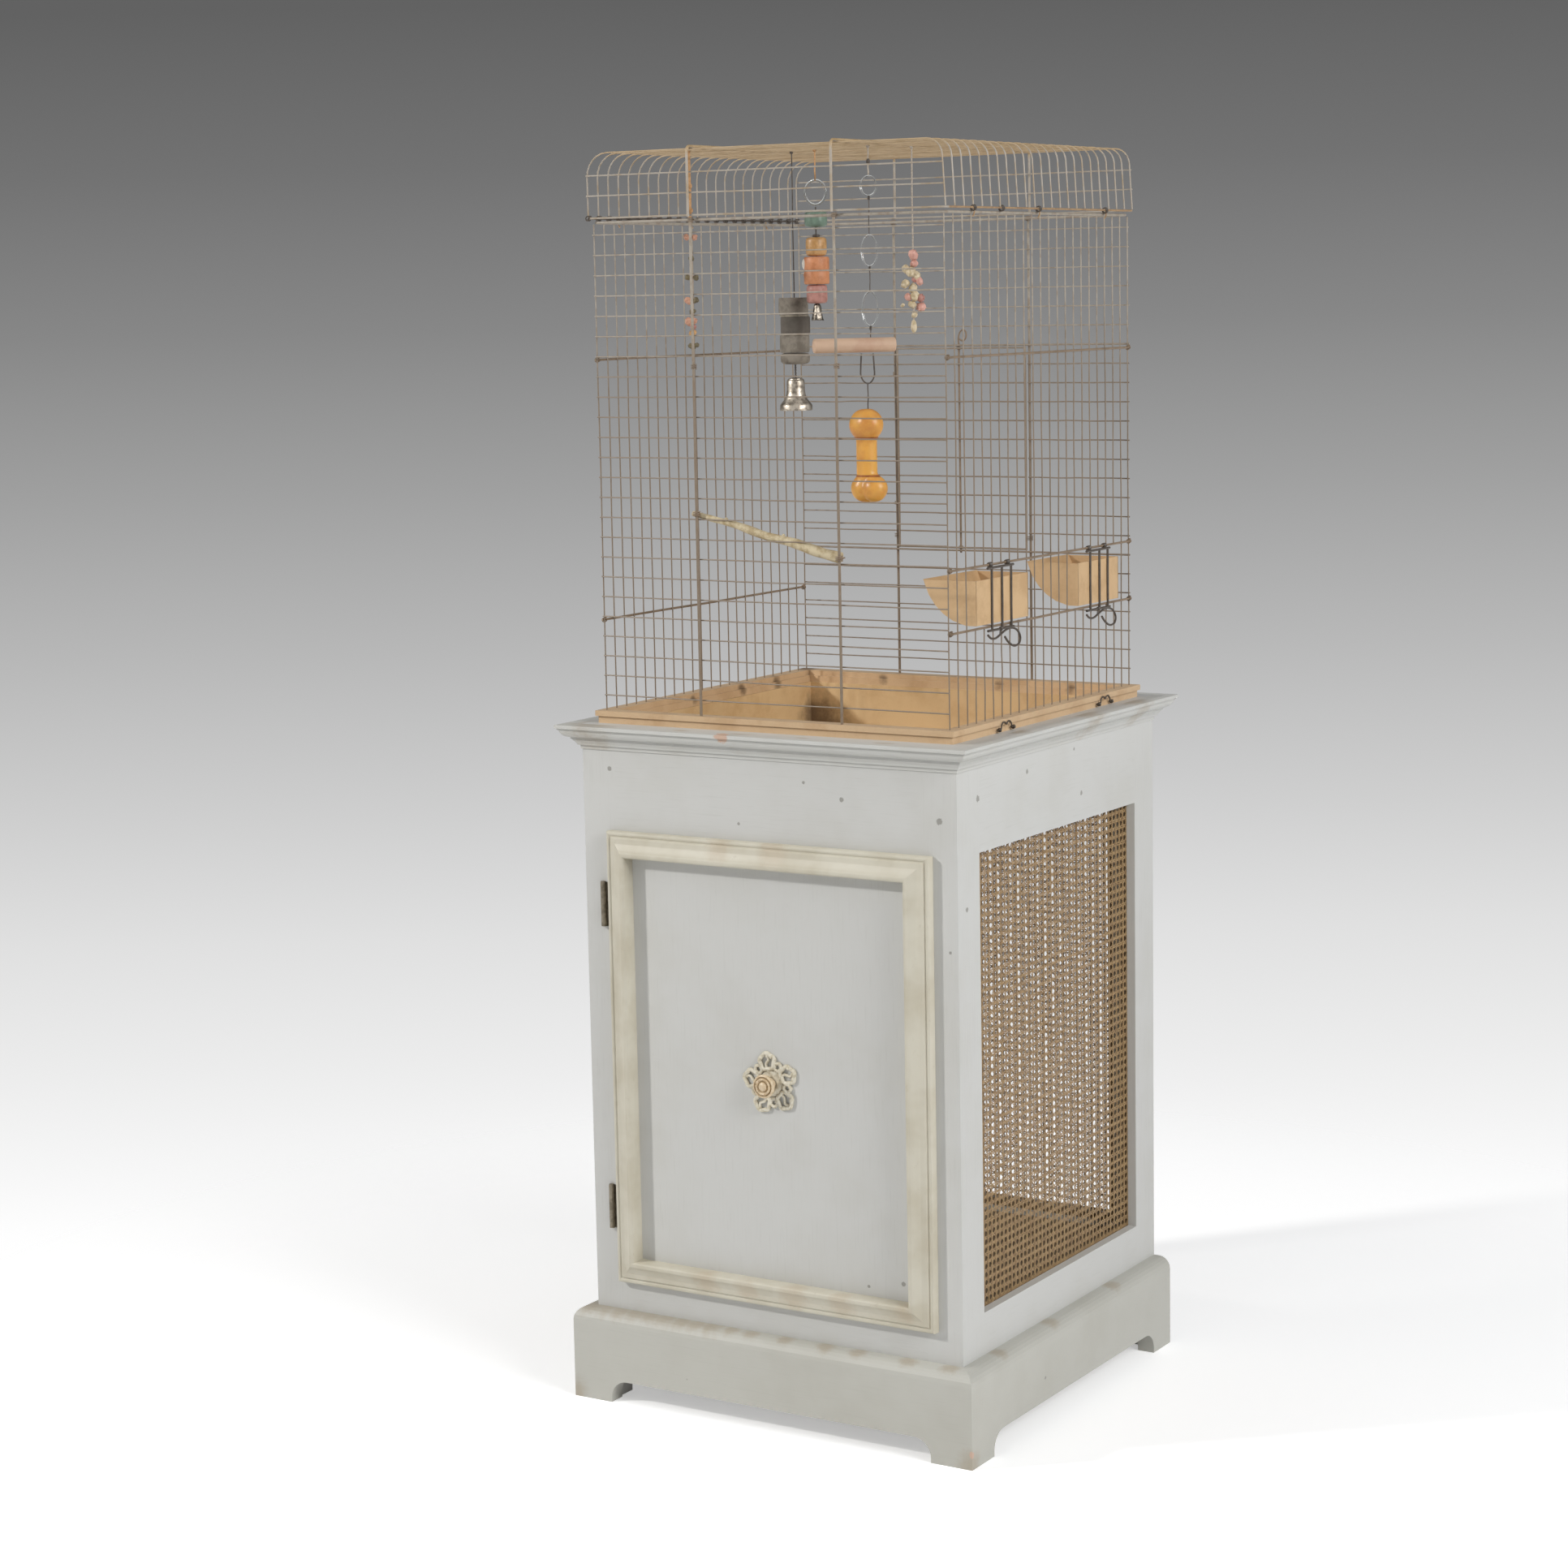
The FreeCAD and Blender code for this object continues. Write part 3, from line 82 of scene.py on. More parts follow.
print("door paint in linear light:", [round(level, 3) for level in linear("#cbcbc8")[:3]])

# %% [markdown]
# ## Patterns with a real size
# Cloudy noise makes brush marks, stains, grain and rust. Its scale is given in millimetres, and it
# reads the object's own coordinates, so it stays put on the piece from every side.

# %% Clouds, thresholds and mixing
def clouds(tree, size, stretch=(1.0, 1.0, 1.0), detail=3.0, rough=0.6):
    """Noise with patches about this many millimetres across."""
    place = add(tree, "ShaderNodeTexCoord")
    drawn = add(tree, "ShaderNodeMapping", {"Vector": place.outputs["Object"], "Scale": stretch})
    noise = add(tree, "ShaderNodeTexNoise", {"Vector": drawn.outputs["Vector"], "Scale": 1000 / size,
                                             "Detail": detail, "Roughness": rough})
    return noise.outputs["Fac"]


def above(tree, value, low, high):
    """0 under low, 1 over high, and smooth between."""
    step = add(tree, "ShaderNodeMapRange", {"Value": value, "From Min": low, "From Max": high},
               interpolation_type="SMOOTHSTEP")
    return step.outputs["Result"]


def over(tree, share, first, second):
    """The second colour laid over the first where the share is 1."""
    mix = add(tree, "ShaderNodeMix", {0: share, 6: first, 7: second}, data_type="RGBA")
    return mix.outputs[2]


def times(tree, first, second, operation="MULTIPLY"):
    """Two values multiplied, or joined by another operation."""
    return add(tree, "ShaderNodeMath", {0: first, 1: second}, operation=operation).outputs["Value"]


def stain_over(tree, colour, share, amount, stain):
    """A colour with a stain laid on it where the share is 1, at most by the amount."""
    return over(tree, times(tree, share, amount), colour, linear(stain))


print("clouds, thresholds and mixing ready")

# %% [markdown]
# ## Relief and a new finish
# Every finish starts from one named material with a roughness of its own. Its colour and a fine
# relief are linked to the shader afterwards.

# %% Relief and a finish to build on
def relief(tree, height, depth, strength=0.6):
    """Bumps of this many millimetres."""
    bump = add(tree, "ShaderNodeBump", {"Height": height, "Distance": depth * MM, "Strength": strength})
    return bump.outputs["Normal"]


def new_finish(name, roughness, metallic=0.0, **sockets):
    """A named material and its node tree and shader, with plain numbers set on the shader itself."""
    material = bpy.data.materials.new(name)
    material.use_nodes = True
    shader = material.node_tree.nodes["Principled BSDF"]
    shader.inputs["Roughness"].default_value = roughness
    shader.inputs["Metallic"].default_value = metallic
    for socket, value in sockets.items():
        shader.inputs[socket.replace("_", " ").title()].default_value = value
    return material, material.node_tree, shader


print("relief and a new finish ready")

# %% [markdown]
# ## Old oil paint on wood
# The cabinet was brushed with a pale grey oil paint. It has dulled and yellowed in patches.
# Brush marks follow the length of each board. Nail marks and the few places where the paint has come
# off are put where they are on the real one: a spot is a ragged ball of space, and where it cuts the
# surface the colour changes. Noise alone would spread the damage evenly, and it isn't even.

# %% Brushed paint with its own spots
def spots(tree, places, ragged, soft=0.15):
    """1 within the ragged balls given as (x, y, z, radius) in millimetres; soft widens the edge."""
    place = add(tree, "ShaderNodeTexCoord").outputs["Object"]
    rough = times(tree, times(tree, clouds(tree, ragged, detail=5.0, rough=0.7), 0.5, "SUBTRACT"), 1.8)
    share = None
    for x, y, z, radius in places:
        away = add(tree, "ShaderNodeVectorMath", {0: place, 1: (x * MM, y * MM, z * MM)},
                   operation="DISTANCE")
        away = times(tree, times(tree, away.outputs["Value"], 1 / (radius * MM)), rough, "ADD")
        near = times(tree, 1.0, above(tree, away, 1 - soft, 1 + soft), "SUBTRACT")
        share = near if share is None else times(tree, share, near, "MAXIMUM")
    return share


def brushed_paint(name, paint, aged, grain_along, marks_at=(), bare_at=(), stained_at=()):
    """Oil paint with nail marks, bare places and brown stains."""
    material, tree, shader = new_finish(name, 0.5)
    stretch = [1.0, 1.0, 1.0]
    stretch[grain_along] = 0.045
    brushing = clouds(tree, 2.6, stretch, 2.0)
    colour = stain_over(tree, linear(paint), above(tree, clouds(tree, 120.0), 0.40, 0.75), 0.5, aged)
    colour = stain_over(tree, colour, above(tree, brushing, 0.52, 0.80), 0.14, "#a5a59c")
    specks = above(tree, clouds(tree, 4.0, (1.0, 1.0, 0.55), 5.0, 0.7), 0.752, 0.775)
    colour = stain_over(tree, colour, specks, 0.5, "#a3937b")
    if stained_at:
        colour = stain_over(tree, colour, spots(tree, stained_at, 16.0, 0.6), 0.5, "#a08f76")
    if bare_at:
        colour = stain_over(tree, colour, spots(tree, bare_at, 9.0), 1.0, "#c9ab97")
    if marks_at:
        colour = stain_over(tree, colour, spots(tree, marks_at, 3.0), 0.7, "#7d7a72")
    tree.links.new(colour, shader.inputs["Base Color"])
    height = times(tree, brushing, times(tree, specks, -1.0), "ADD")
    tree.links.new(relief(tree, height, 0.2), shader.inputs["Normal"])
    return material


print("brushed paint ready")

# %% [markdown]
# ## The coats of the cabinet
# Nail marks, bare wood and brown stains are lists of x, y, z and radius in millimetres, chosen board
# by board. Brush marks run along a board, so upright, level and deep boards have a coat each. The
# plinth is darker, and a row of stains lies along its top edge.

# %% Six coats of paint
NAILS = [(-232, -273, 836, 3), (58, -273, 836, 2), (112, -273, 818, 3), (-38, -273, 778, 2),
         (84, -273, 868, 3), (249, -273, 800, 4), (262, -273, 640, 2), (190, -273, 215, 3),
         (140, -273, 205, 2), (273, -220, 822, 4), (273, -90, 838, 3), (273, 60, 790, 3),
         (273, -250, 690, 3), (273, 40, 850, 2)]
PLINTH_STAINS = [(x, -281, 123, 15) for x in (-280, -255, -232, -208, -184, -160, -136, -112, -90)]
PLINTH_STAINS += [(x, -282, 123, 11) for x in (-60, -30, 20, 80, 130, 200, 260)]
PLINTH_STAINS += [(283, y, 123, 12) for y in (-200, -60, 120)]
PLINTH_STAINS += [(297, -297, 4, 16), (-297, -297, 4, 16)]
CORNICE_STAINS = [(-120, -268, 892, 14), (-30, -268, 892, 18), (60, -268, 892, 12), (180, -268, 892, 16),
                  (275, -120, 892, 14), (275, 60, 892, 26), (275, 200, 892, 24), (-250, -270, 892, 30)]
board_paint, rail_paint, side_rail_paint = (
    brushed_paint("grey_oil_paint_" + lie, "#cbcbc8", "#c3c2bc", grain, NAILS)
    for lie, grain in (("upright", 2), ("across", 0), ("deep", 1)))
plinth_paint = brushed_paint("grey_oil_paint_plinth", "#bfbeb6", "#b3b1a7", 0,
                             [(299, -100, 60, 3), (-120, -299, 50, 2)], [(299, -297, 20, 5)], PLINTH_STAINS)
cornice_paint = brushed_paint("grey_oil_paint_cornice", "#c9c9c5", "#bebcb4", 0,
                              (), [(-46, -297, 890, 9), (-52, -286, 892, 7)], CORNICE_STAINS)
inner_paint = brushed_paint("brown_stained_inside", "#8d7a5f", "#7a684e", 0)
print("six coats of paint")

# %% [markdown]
# ## Cream gloss paint on the moulding
# The picture-frame moulding on the door is a warmer cream than the boards. Dirt has settled in its
# hollows, so the finish darkens in narrow streaks along it. It is worn brown at places on its lower
# and upper rail.

# %% Cream paint with dirt
cream_paint, tree, shader = new_finish("cream_oil_paint", 0.5)
streaks = clouds(tree, 7.0, (0.35, 1.0, 0.35), 5.0, 0.7)
colour = over(tree, above(tree, clouds(tree, 70.0), 0.35, 0.7), linear("#cdc8b8"), linear("#c0b9a6"))
colour = stain_over(tree, colour, above(tree, streaks, 0.60, 0.80), 0.45, "#a09379")
worn = spots(tree, [(-90, -290, 182, 16), (-30, -290, 180, 14), (40, -290, 181, 18), (110, -291, 182, 16),
                    (-60, -288, 748, 16), (20, -288, 748, 18), (200, -290, 182, 12)], 14.0, 0.6)
colour = stain_over(tree, colour, worn, 0.35, "#b39c7e")
tree.links.new(colour, shader.inputs["Base Color"])
tree.links.new(relief(tree, streaks, 0.3, 0.4), shader.inputs["Normal"])
print(cream_paint.name)

# %% [markdown]
# ## Tan enamel, cane and cage wire
# The tray, its rim and the feeders wear a tan stoving enamel, stained by use. The cage wire is
# drawn steel under a thin tan-grey coat with rust freckles. Its colour is painted paler above and
# darker below, painted light and shade rather than a change in the coat. Cane is the
# skin of rattan, and the patches in it are small, so that strands differ from each other.

# %% Enamels, wire and cane
def stained_enamel(name, base, stain, size, amount, roughness=0.5, dark_at=(), low=None,
                   levels=(1.30, 1.43)):
    """Enamel with clouds of stain; low is its colour under the levels, dark_at lists rusted places."""
    material, tree, shader = new_finish(name, roughness)
    cloud = clouds(tree, size, detail=6.0, rough=0.65)
    fine = clouds(tree, 3.0, detail=2.0)
    ground = linear(base)
    if low:
        place = add(tree, "ShaderNodeTexCoord")
        height = add(tree, "ShaderNodeSeparateXYZ", {"Vector": place.outputs["Object"]}).outputs["Z"]
        ground = over(tree, above(tree, height, *levels), linear(low), linear(base))
    colour = stain_over(tree, ground, above(tree, cloud, 0.42, 0.68), amount, stain)
    colour = stain_over(tree, colour, above(tree, fine, 0.60, 0.75), 0.18, stain)
    if dark_at:
        colour = stain_over(tree, colour, spots(tree, dark_at, 25.0, 0.6), 0.8, "#5a4330")
    tree.links.new(colour, shader.inputs["Base Color"])
    tree.links.new(relief(tree, fine, 0.15, 0.3), shader.inputs["Normal"])
    return material


RIM_RUST = [(-250, 250, 901, 16), (-120, 242, 899, 7), (60, 242, 899, 7), (170, 242, 899, 7),
            (-245, 60, 899, 8), (-245, -60, 899, 6), (-245, 150, 899, 9)]
TRAY_RUST = [(-236, 238, 845, 26), (-222, 240, 822, 40), (-190, 240, 806, 30), (-236, 190, 806, 26)]
rim_enamel = stained_enamel("tan_stoving_enamel", "#d3b590", "#b9946c", 45.0, 0.5, 0.42, RIM_RUST)
# The tray enamel is painted paler than the rim's, painted light for the light that reaches into the tray; its
# stains and rust are real.
tray_enamel_painted_light = stained_enamel("tan_enamel_stained_painted_light", "#d9bb8e", "#bd9768", 85.0, 0.6, 0.55, TRAY_RUST)
feeder_enamel = stained_enamel("tan_enamel_feeder", "#cdac82", "#b08c62", 40.0, 0.55, 0.45)
# The cage wire is painted darker low down and paler high up: painted shade and light, not a change in its
# coat.
cage_wire = stained_enamel("coated_steel_wire", "#a59c8f", "#7f6b56", 14.0, 0.55, 0.45, (), "#857767")
rail_wire = stained_enamel("rusted_rail_wire", "#8a7763", "#65543f", 20.0, 0.6, 0.5)
hood_wire = stained_enamel("coated_steel_wire_pale", "#b39a76", "#94794f", 30.0, 0.6, 0.45, (),
                           "#aaa195", (1.600, 1.612))
band_wire = stained_enamel("rusty_band_wire", "#a98a66", "#7f644a", 12.0, 0.7, 0.5)
dark_wire = stained_enamel("bare_steel_wire_dark", "#544b43", "#3a332c", 6.0, 0.7, 0.4)
cane_skin = stained_enamel("rattan_skin", "#a88b62", "#806443", 7.0, 0.8, 0.5)
print("enamel, wire and cane ready")

# %% [markdown]
# ## Ivory, gilt, wood, metal and plastic for the small pieces
# The knob is glazed ivory-coloured ceramic and its plate is a cast, painted ornament. Perch and
# dowel are bare wood. The toys are dyed wood, pressed mineral, plastic and nickel-plated steel.

# %% Small finishes
def dyed(name, base, second, size, roughness, metallic=0.0, depth=0.1, **sockets):
    """A plain finish of two tones in patches of this many millimetres."""
    material, tree, shader = new_finish(name, roughness, metallic, **sockets)
    cloud = clouds(tree, size, detail=4.0)
    tree.links.new(over(tree, above(tree, cloud, 0.38, 0.68), linear(base), linear(second)),
                   shader.inputs["Base Color"])
    tree.links.new(relief(tree, cloud, depth, 0.4), shader.inputs["Normal"])
    return material


ivory_glaze = dyed("ivory_glaze", "#dcc9ab", "#c8b08c", 5.0, 0.3)
groove_glaze = dyed("ivory_glaze_darker", "#b8a07c", "#9c8460", 3.0, 0.5)
cast_plate = dyed("cast_cream_plate", "#e0dac9", "#c2b89e", 6.0, 0.5, 0.0, 0.4)
steel = dyed("dull_zinc_steel", "#948b7a", "#756c5c", 6.0, 0.5, 0.6)
# The dark patches of both nickel finishes are painted dark reflections, and the small bell's nickel is
# painted darker all over for the same reflections.
nickel = dyed("nickel_plate_painted_reflections", "#cfc5b6", "#80766a", 7.0, 0.38, 1.0, 0.05)
nickel_painted_dark_reflections = dyed("nickel_painted_dark_reflections", "#8d857a", "#4c453d", 3.0, 0.35, 1.0, 0.1)
bare_wood = dyed("bare_softwood", "#c8a98f", "#bd9980", 30.0, 0.6)
branch_wood = dyed("peeled_branch", "#cdbf9f", "#a8946f", 9.0, 0.65, 0.0, 0.5)
orange_wood = dyed("orange_dyed_wood", "#cc8a60", "#b8764e", 9.0, 0.5)
coral_chip = dyed("coral_chip", "#c99a80", "#b37c66", 4.0, 0.5)
tan_wood = dyed("varnished_wood", "#c79a66", "#a97f4c", 9.0, 0.4)
olive_chip = dyed("olive_chip", "#756a4e", "#564c38", 4.0, 0.5)
pink_wood = dyed("pink_dyed_wood", "#b8857a", "#a06e62", 8.0, 0.5)
green_plastic = dyed("sage_plastic", "#6f8474", "#5d7062", 10.0, 0.3)
mineral = dyed("pressed_mineral_grey", "#8a8276", "#6f675c", 12.0, 0.85, 0.0, 0.8)
mineral_dark = dyed("pressed_mineral_dark", "#625b53", "#565048", 12.0, 0.85, 0.0, 0.8)
mineral_line = dyed("mineral_pale_layer", "#9b9281", "#7a7264", 6.0, 0.8)
bone_plastic = dyed("amber_gloss_plastic", "#dfa64e", "#c98a42", 26.0, 0.35, subsurface_weight=0.15)
# The darker amber is painted shade for the creases where the lobes meet the waist.
bone_crease_shade = dyed("amber_crease_painted_shade", "#a3622b", "#8a4f22", 6.0, 0.5)
shell_pink = dyed("shell_pink", "#d8a596", "#b88577", 6.0, 0.45)
shell_cream = dyed("shell_cream", "#d8c8aa", "#b3a07c", 6.0, 0.45)
pale_twine = dyed("pale_twine", "#b5aa9c", "#988c7e", 3.0, 0.7)
string_orange = dyed("faded_orange_twine", "#bf9468", "#a37b50", 5.0, 0.7)
white_bead = dyed("white_glass_bead", "#e8e2d8", "#d6cfc4", 8.0, 0.15)
clear_plastic = dyed("clear_acrylic", "#f2f4f3", "#e6eae8", 30.0, 0.06, 0.0, 0.01, transmission_weight=1.0)
print("the small finishes are ready")

# %% [markdown]
# ## Reading the frame
# Each wire of the frame is its own solid. Welding the doubled corners of a node and walking from
# corner to corner gives its solids back one by one, so a new round wire can follow each old one. A
# wire of the frame has few sides, so its box is a little under two radii wide.

# %% Take a node apart into its solids
def solids_of(node):
    """The corners of each separate solid of a node, in the order of its mesh."""
    mesh = bmesh.new()
    mesh.from_mesh(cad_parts[node].data)
    bmesh.ops.remove_doubles(mesh, verts=mesh.verts, dist=1e-6)
    left = set(mesh.verts)
    groups = []
    for first in mesh.verts:
        if first not in left:
            continue
        left.remove(first)
        todo = [first]
        group = []
        while todo:
            corner = todo.pop()
            group.append(corner.co.copy())
            for edge in corner.link_edges:
                other = edge.other_vert(corner)
                if other in left:
                    left.remove(other)
                    todo.append(other)
        groups.append(group)
    mesh.free()
    return groups


def limits(points):
    """The least and the greatest corner of some points."""
    low = Vector([min(point[axis] for point in points) for axis in range(3)])
    high = Vector([max(point[axis] for point in points) for axis in range(3)])
    return low, high


print("side wires found:", len(solids_of("left_wires")), "and", len(solids_of("right_wires")))

# %% [markdown]
# ## Round wire from a path
# A wire is a ring of corners carried along its path. The ring keeps its turn from one place to the
# next, so the wire doesn't twist. A curve object with a bevel would do as well, but a mesh lets many
# wires share one piece.

# %% Skin between rings, and round wire
def skin(mesh, rings, closed=False):
    """Faces between neighbouring rings of corners, with a cap at each end unless it is closed."""
    for low, high in zip(rings, rings[1:] + rings[:1] if closed else rings[1:]):
        for index in range(len(low)):
            after = (index + 1) % len(low)
            mesh.faces.new((low[index], low[after], high[after], high[index]))
    if not closed:
        mesh.faces.new(rings[0][::-1])
        mesh.faces.new(rings[-1])


def sweep(mesh, path, radius, sides=8, closed=False):
    """Adds round wire along a path; radius is a number, or a function of the share of the length."""
    count = len(path)
    rings = []
    across = None
    for index, place in enumerate(path):
        before = path[index - 1] if closed or index else place
        after = path[(index + 1) % count] if closed or index + 1 < count else place
        along = (after - before).normalized()
        if across is None:
            across = along.orthogonal().normalized()
        across = (across - along * across.dot(along)).normalized()
        side = along.cross(across)
        size = radius(index / (count - 1)) if callable(radius) else radius
        turns = [2 * math.pi * step / sides for step in range(sides)]
        rings.append([mesh.verts.new(place + (across * math.cos(turn) + side * math.sin(turn)) * size)
                      for turn in turns])
    skin(mesh, rings, closed)


print("round wire ready")

# %% [markdown]
# ## Paths for the wires
# Wire that was worked by hand is never quite straight, so a path may wander by a small distance that
# chance decides. Softly bent wires run through a few points, and a rod bent into a rectangle has
# round corners.

# %% Wandering, smooth and rectangular paths
def wavy(start, end, swing, steps=8):
    """A nearly straight path that wanders by up to the swing."""
    run = end - start
    side = run.orthogonal().normalized()
    rise = run.normalized().cross(side)
    turns = [chance.uniform(0, 2 * math.pi) for wave in range(4)]
    path = []
    for step in range(steps + 1):
        share = step / steps
        fade = math.sin(math.pi * share)
        a = math.sin(2.1 * math.pi * share + turns[0]) + 0.5 * math.sin(5.3 * math.pi * share + turns[1])
        b = math.sin(1.7 * math.pi * share + turns[2]) + 0.5 * math.sin(4.9 * math.pi * share + turns[3])
        path.append(start + run * share + (side * a + rise * b) * (swing * fade / 1.5))
    return path


def smooth(points, steps=6):
    """A soft curve through the points."""
    path = []
    for index in range(len(points) - 1):
        a, b = points[max(index - 1, 0)], points[index]
        c, d = points[index + 1], points[min(index + 2, len(points) - 1)]
        for step in range(steps):
            t = step / steps
            path.append(0.5 * (2 * b + (c - a) * t + (2 * a - 5 * b + 4 * c - d) * t ** 2
                               + (3 * b - a - 3 * c + d) * t ** 3))
    return path + [points[-1]]


def rounded_loop(half_x, half_y, radius, z):
    """A level rectangle; the half sizes reach to the centres of its round corners."""
    path = []
    for side_x, side_y, begin in ((1, 1, 0), (-1, 1, 90), (-1, -1, 180), (1, -1, 270)):
        for step in range(6):
            turn = math.radians(begin + 18 * step)
            path.append(Vector((side_x * half_x + radius * math.cos(turn),
                                side_y * half_y + radius * math.sin(turn), z)))
    return path


print("a sample wire bends at", len(wavy(Vector((0, 0, 0)), Vector((0, 0, 1)), MM)), "places")

# %% [markdown]
# ## Windings
# Ties, eyes and guides of the cage are all the same thing, a few turns of thin wire about an axis.
# One function winds them, with its sizes in millimetres.

# %% Wind a wire about an axis
def wind(mesh, centre, axis, radius, turns, length, wire, steps=10, sides=6):
    """Adds a winding; radius, length and wire are in millimetres."""
    axis = Vector(axis).normalized()
    side = axis.orthogonal().normalized()
    rise = axis.cross(side)
    count = int(turns * steps)
    path = []
    for index in range(count + 1):
        turn = 2 * math.pi * index / steps
        out = side * math.cos(turn) + rise * math.sin(turn)
        path.append(centre + axis * (length * MM * (index / count - 0.5)) + out * (radius * MM))
    sweep(mesh, path, wire * MM, sides)


print("windings ready")

# %% [markdown]
# ## Making a piece and dressing a board
# A piece gets its mesh, a finish and the body that it rides on. A board of the frame keeps its mesh,
# and only its finish changes.

# %% Pieces and boards
def piece(name, mesh, materials, body, replaced=(), angle=40.0):
    """Turns a mesh into a named piece that rides on a body of the frame."""
    data = bpy.data.meshes.new(name)
    bmesh.ops.recalc_face_normals(mesh, faces=mesh.faces)
    mesh.to_mesh(data)
    mesh.free()
    thing = bpy.data.objects.new(name, data)
    bpy.context.scene.collection.objects.link(thing)
    for material in materials if isinstance(materials, (list, tuple)) else [materials]:
        data.materials.append(material)
    data.shade_smooth()
    data.set_sharp_from_angle(angle=math.radians(angle))
    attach(thing, body)
    if replaced:
        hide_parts(*replaced)
    print(name, len(data.polygons), "faces on", body)
    return thing


def dress(material, *nodes):
    """Gives boards of the frame their finish."""
    for node in nodes:
        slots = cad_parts[node].data.materials
        slots.clear()
        slots.append(material)
    print(material.name, "on", len(nodes), "nodes")


dress(board_paint, "front_stiles", "side_stiles", "door_panel", "plinth_blocks")
dress(rail_paint, "front_rails", "cabinet_top")
dress(side_rail_paint, "side_frame_rails", "back_frame")
dress(plinth_paint, "plinth_front", "plinth_sides")
dress(inner_paint, "cabinet_floor", "cane_beads", "catch_block")
dress(steel, "hinge_frame_leaves", "hinge_door_leaves", "hinge_pins", "door_catch")
dress(rim_enamel, "tray_rim", "cage_base_frame")
dress(tray_enamel_painted_light, "tray_bottom", "tray_walls")

# %% [markdown]
# ## Cornice
# The edge of the top is a run of moulding mitred at the four corners: a flat slab edge, a step, a
# hollow and a bead. A profile of about forty points is carried round the corners. The frame has the
# same profile in flats.

# %% Mitred profile and the cornice
def mitred_frame(mesh, profile, half_x, half_y, place):
    """Carries a closed (out, up) profile in millimetres round a rectangle; place makes it a point."""
    rings = []
    for side_x, side_y in ((1, -1), (1, 1), (-1, 1), (-1, -1)):
        places = [(side_x * (half_x + out * MM), side_y * (half_y + out * MM), up * MM)
                  for out, up in profile]
        rings.append([mesh.verts.new(place(*three)) for three in places])
    skin(mesh, rings, True)


def soft_profile(points, steps):
    """(out, up) pairs with smooth bends between them."""
    return [(point.x, point.y) for point in smooth([Vector((out, up, 0)) for out, up in points], steps)]


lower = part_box("cornice")[0].z
body_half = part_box("front_stiles")[1].x
profile = [(0, 32.5), (25.4, 32.5), (26, 31.9), (26, 28.2), (23.6, 27.6), (23.4, 26.2)]
profile += soft_profile([(21.8, 25.8), (20.9, 22.6), (18.0, 18.8), (14.2, 16.6)], 5)
profile += [(11.2, 16.2), (11.0, 13.8), (9.4, 13.4)]
profile += soft_profile([(9.4, 12.4), (7.6, 10.6), (5.6, 8.0), (4.6, 5.6)], 5)
profile += [(2.1, 5.2), (1.7, 0.6), (0, 0)]
mesh = bmesh.new()
mitred_frame(mesh, profile, body_half, body_half, lambda x, y, up: Vector((x, y, lower + up)))
piece("cornice_moulding", mesh, cornice_paint, "cabinet", ["cornice"], 28.0)

# %% [markdown]
# ## Moulding on the door
# The frame on the door stands proud of the leaf. Its crest is beside the sight edge and drops
# straight to the leaf there. Outwards it falls in a long hollow, then a groove and a small bead.

# %% Door moulding
MOULDING_WIDTH = 32
low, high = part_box("door_moulding")
middle = (low + high) / 2
sight = high - middle - Vector((1, 0, 1)) * (MOULDING_WIDTH * MM)
profile = [(0, 0), (0, 19.2)]
profile += soft_profile([(0.3, 19.9), (1.8, 21.4), (4.2, 22.0), (6.6, 21.4), (9.6, 19.0), (14.0, 16.6),
                         (19.0, 14.6), (23.4, 13.4), (24.6, 12.6)], 4)
profile += soft_profile([(25.0, 11.4), (25.8, 11.0), (26.6, 11.3), (27.8, 12.2), (29.4, 12.3), (31.2, 11.4),
                         (MOULDING_WIDTH, 9.4)], 3)
profile += [(MOULDING_WIDTH, 0.3), (15, 0.3), (14.4, 0)]
mesh = bmesh.new()
mitred_frame(mesh, profile, sight.x, sight.z,
             lambda x, z, up: Vector((middle.x + x, high.y - up, middle.z + z)))
piece("door_frame_moulding", mesh, cream_paint, "cupboard_door", ["door_moulding"], 28.0)

# %% [markdown]
# ## Knob
# The knob is turned: rings of different radius stacked along its axis. Its face has two grooves with
# a ring of ten small beads between them. The glaze is darker in both and behind the rim.

# %% Turn the knob
def turned(mesh, outline, centre, axis, sides=48):
    """Adds a turning from (radius, distance) pairs in millimetres."""
    axis = Vector(axis)
    side = axis.orthogonal().normalized()
    rise = axis.cross(side)
    rings = []
    for radius, distance in outline:
        place = centre + axis * (distance * MM)
        rings.append([mesh.verts.new(place + (side * math.cos(2 * math.pi * step / sides)
                                              + rise * math.sin(2 * math.pi * step / sides)) * (radius * MM))
                      for step in range(sides)])
    skin(mesh, rings)


def bead(mesh, centre, radius, segments):
    """A small ball; its radius is in millimetres."""
    bmesh.ops.create_uvsphere(mesh, u_segments=segments, v_segments=6, radius=radius * MM,
                              matrix=Matrix.Translation(centre))


KNOB_SIDES = 48
DARKER_ROWS = (4, 11, 12, 16, 17)
low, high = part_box("door_knob")
seat = Vector(((low.x + high.x) / 2, high.y, (low.z + high.z) / 2))
outline = [(7.2, 0.0), (6.2, 2.0), (5.8, 5.0), (6.6, 9.0), (9.0, 11.2), (12.6, 12.6), (14.6, 14.2),
           (15.3, 16.4), (15.1, 18.4), (14.2, 19.6), (13.0, 19.7), (12.2, 18.3), (11.4, 18.2),
           (10.8, 19.8), (9.4, 20.8), (8.2, 20.2), (7.5, 18.7), (6.6, 18.6), (5.8, 20.0), (4.0, 21.6),
           (1.5, 22.0)]
mesh = bmesh.new()
turned(mesh, outline, seat, (0, -1, 0), KNOB_SIDES)
mesh.faces.ensure_lookup_table()
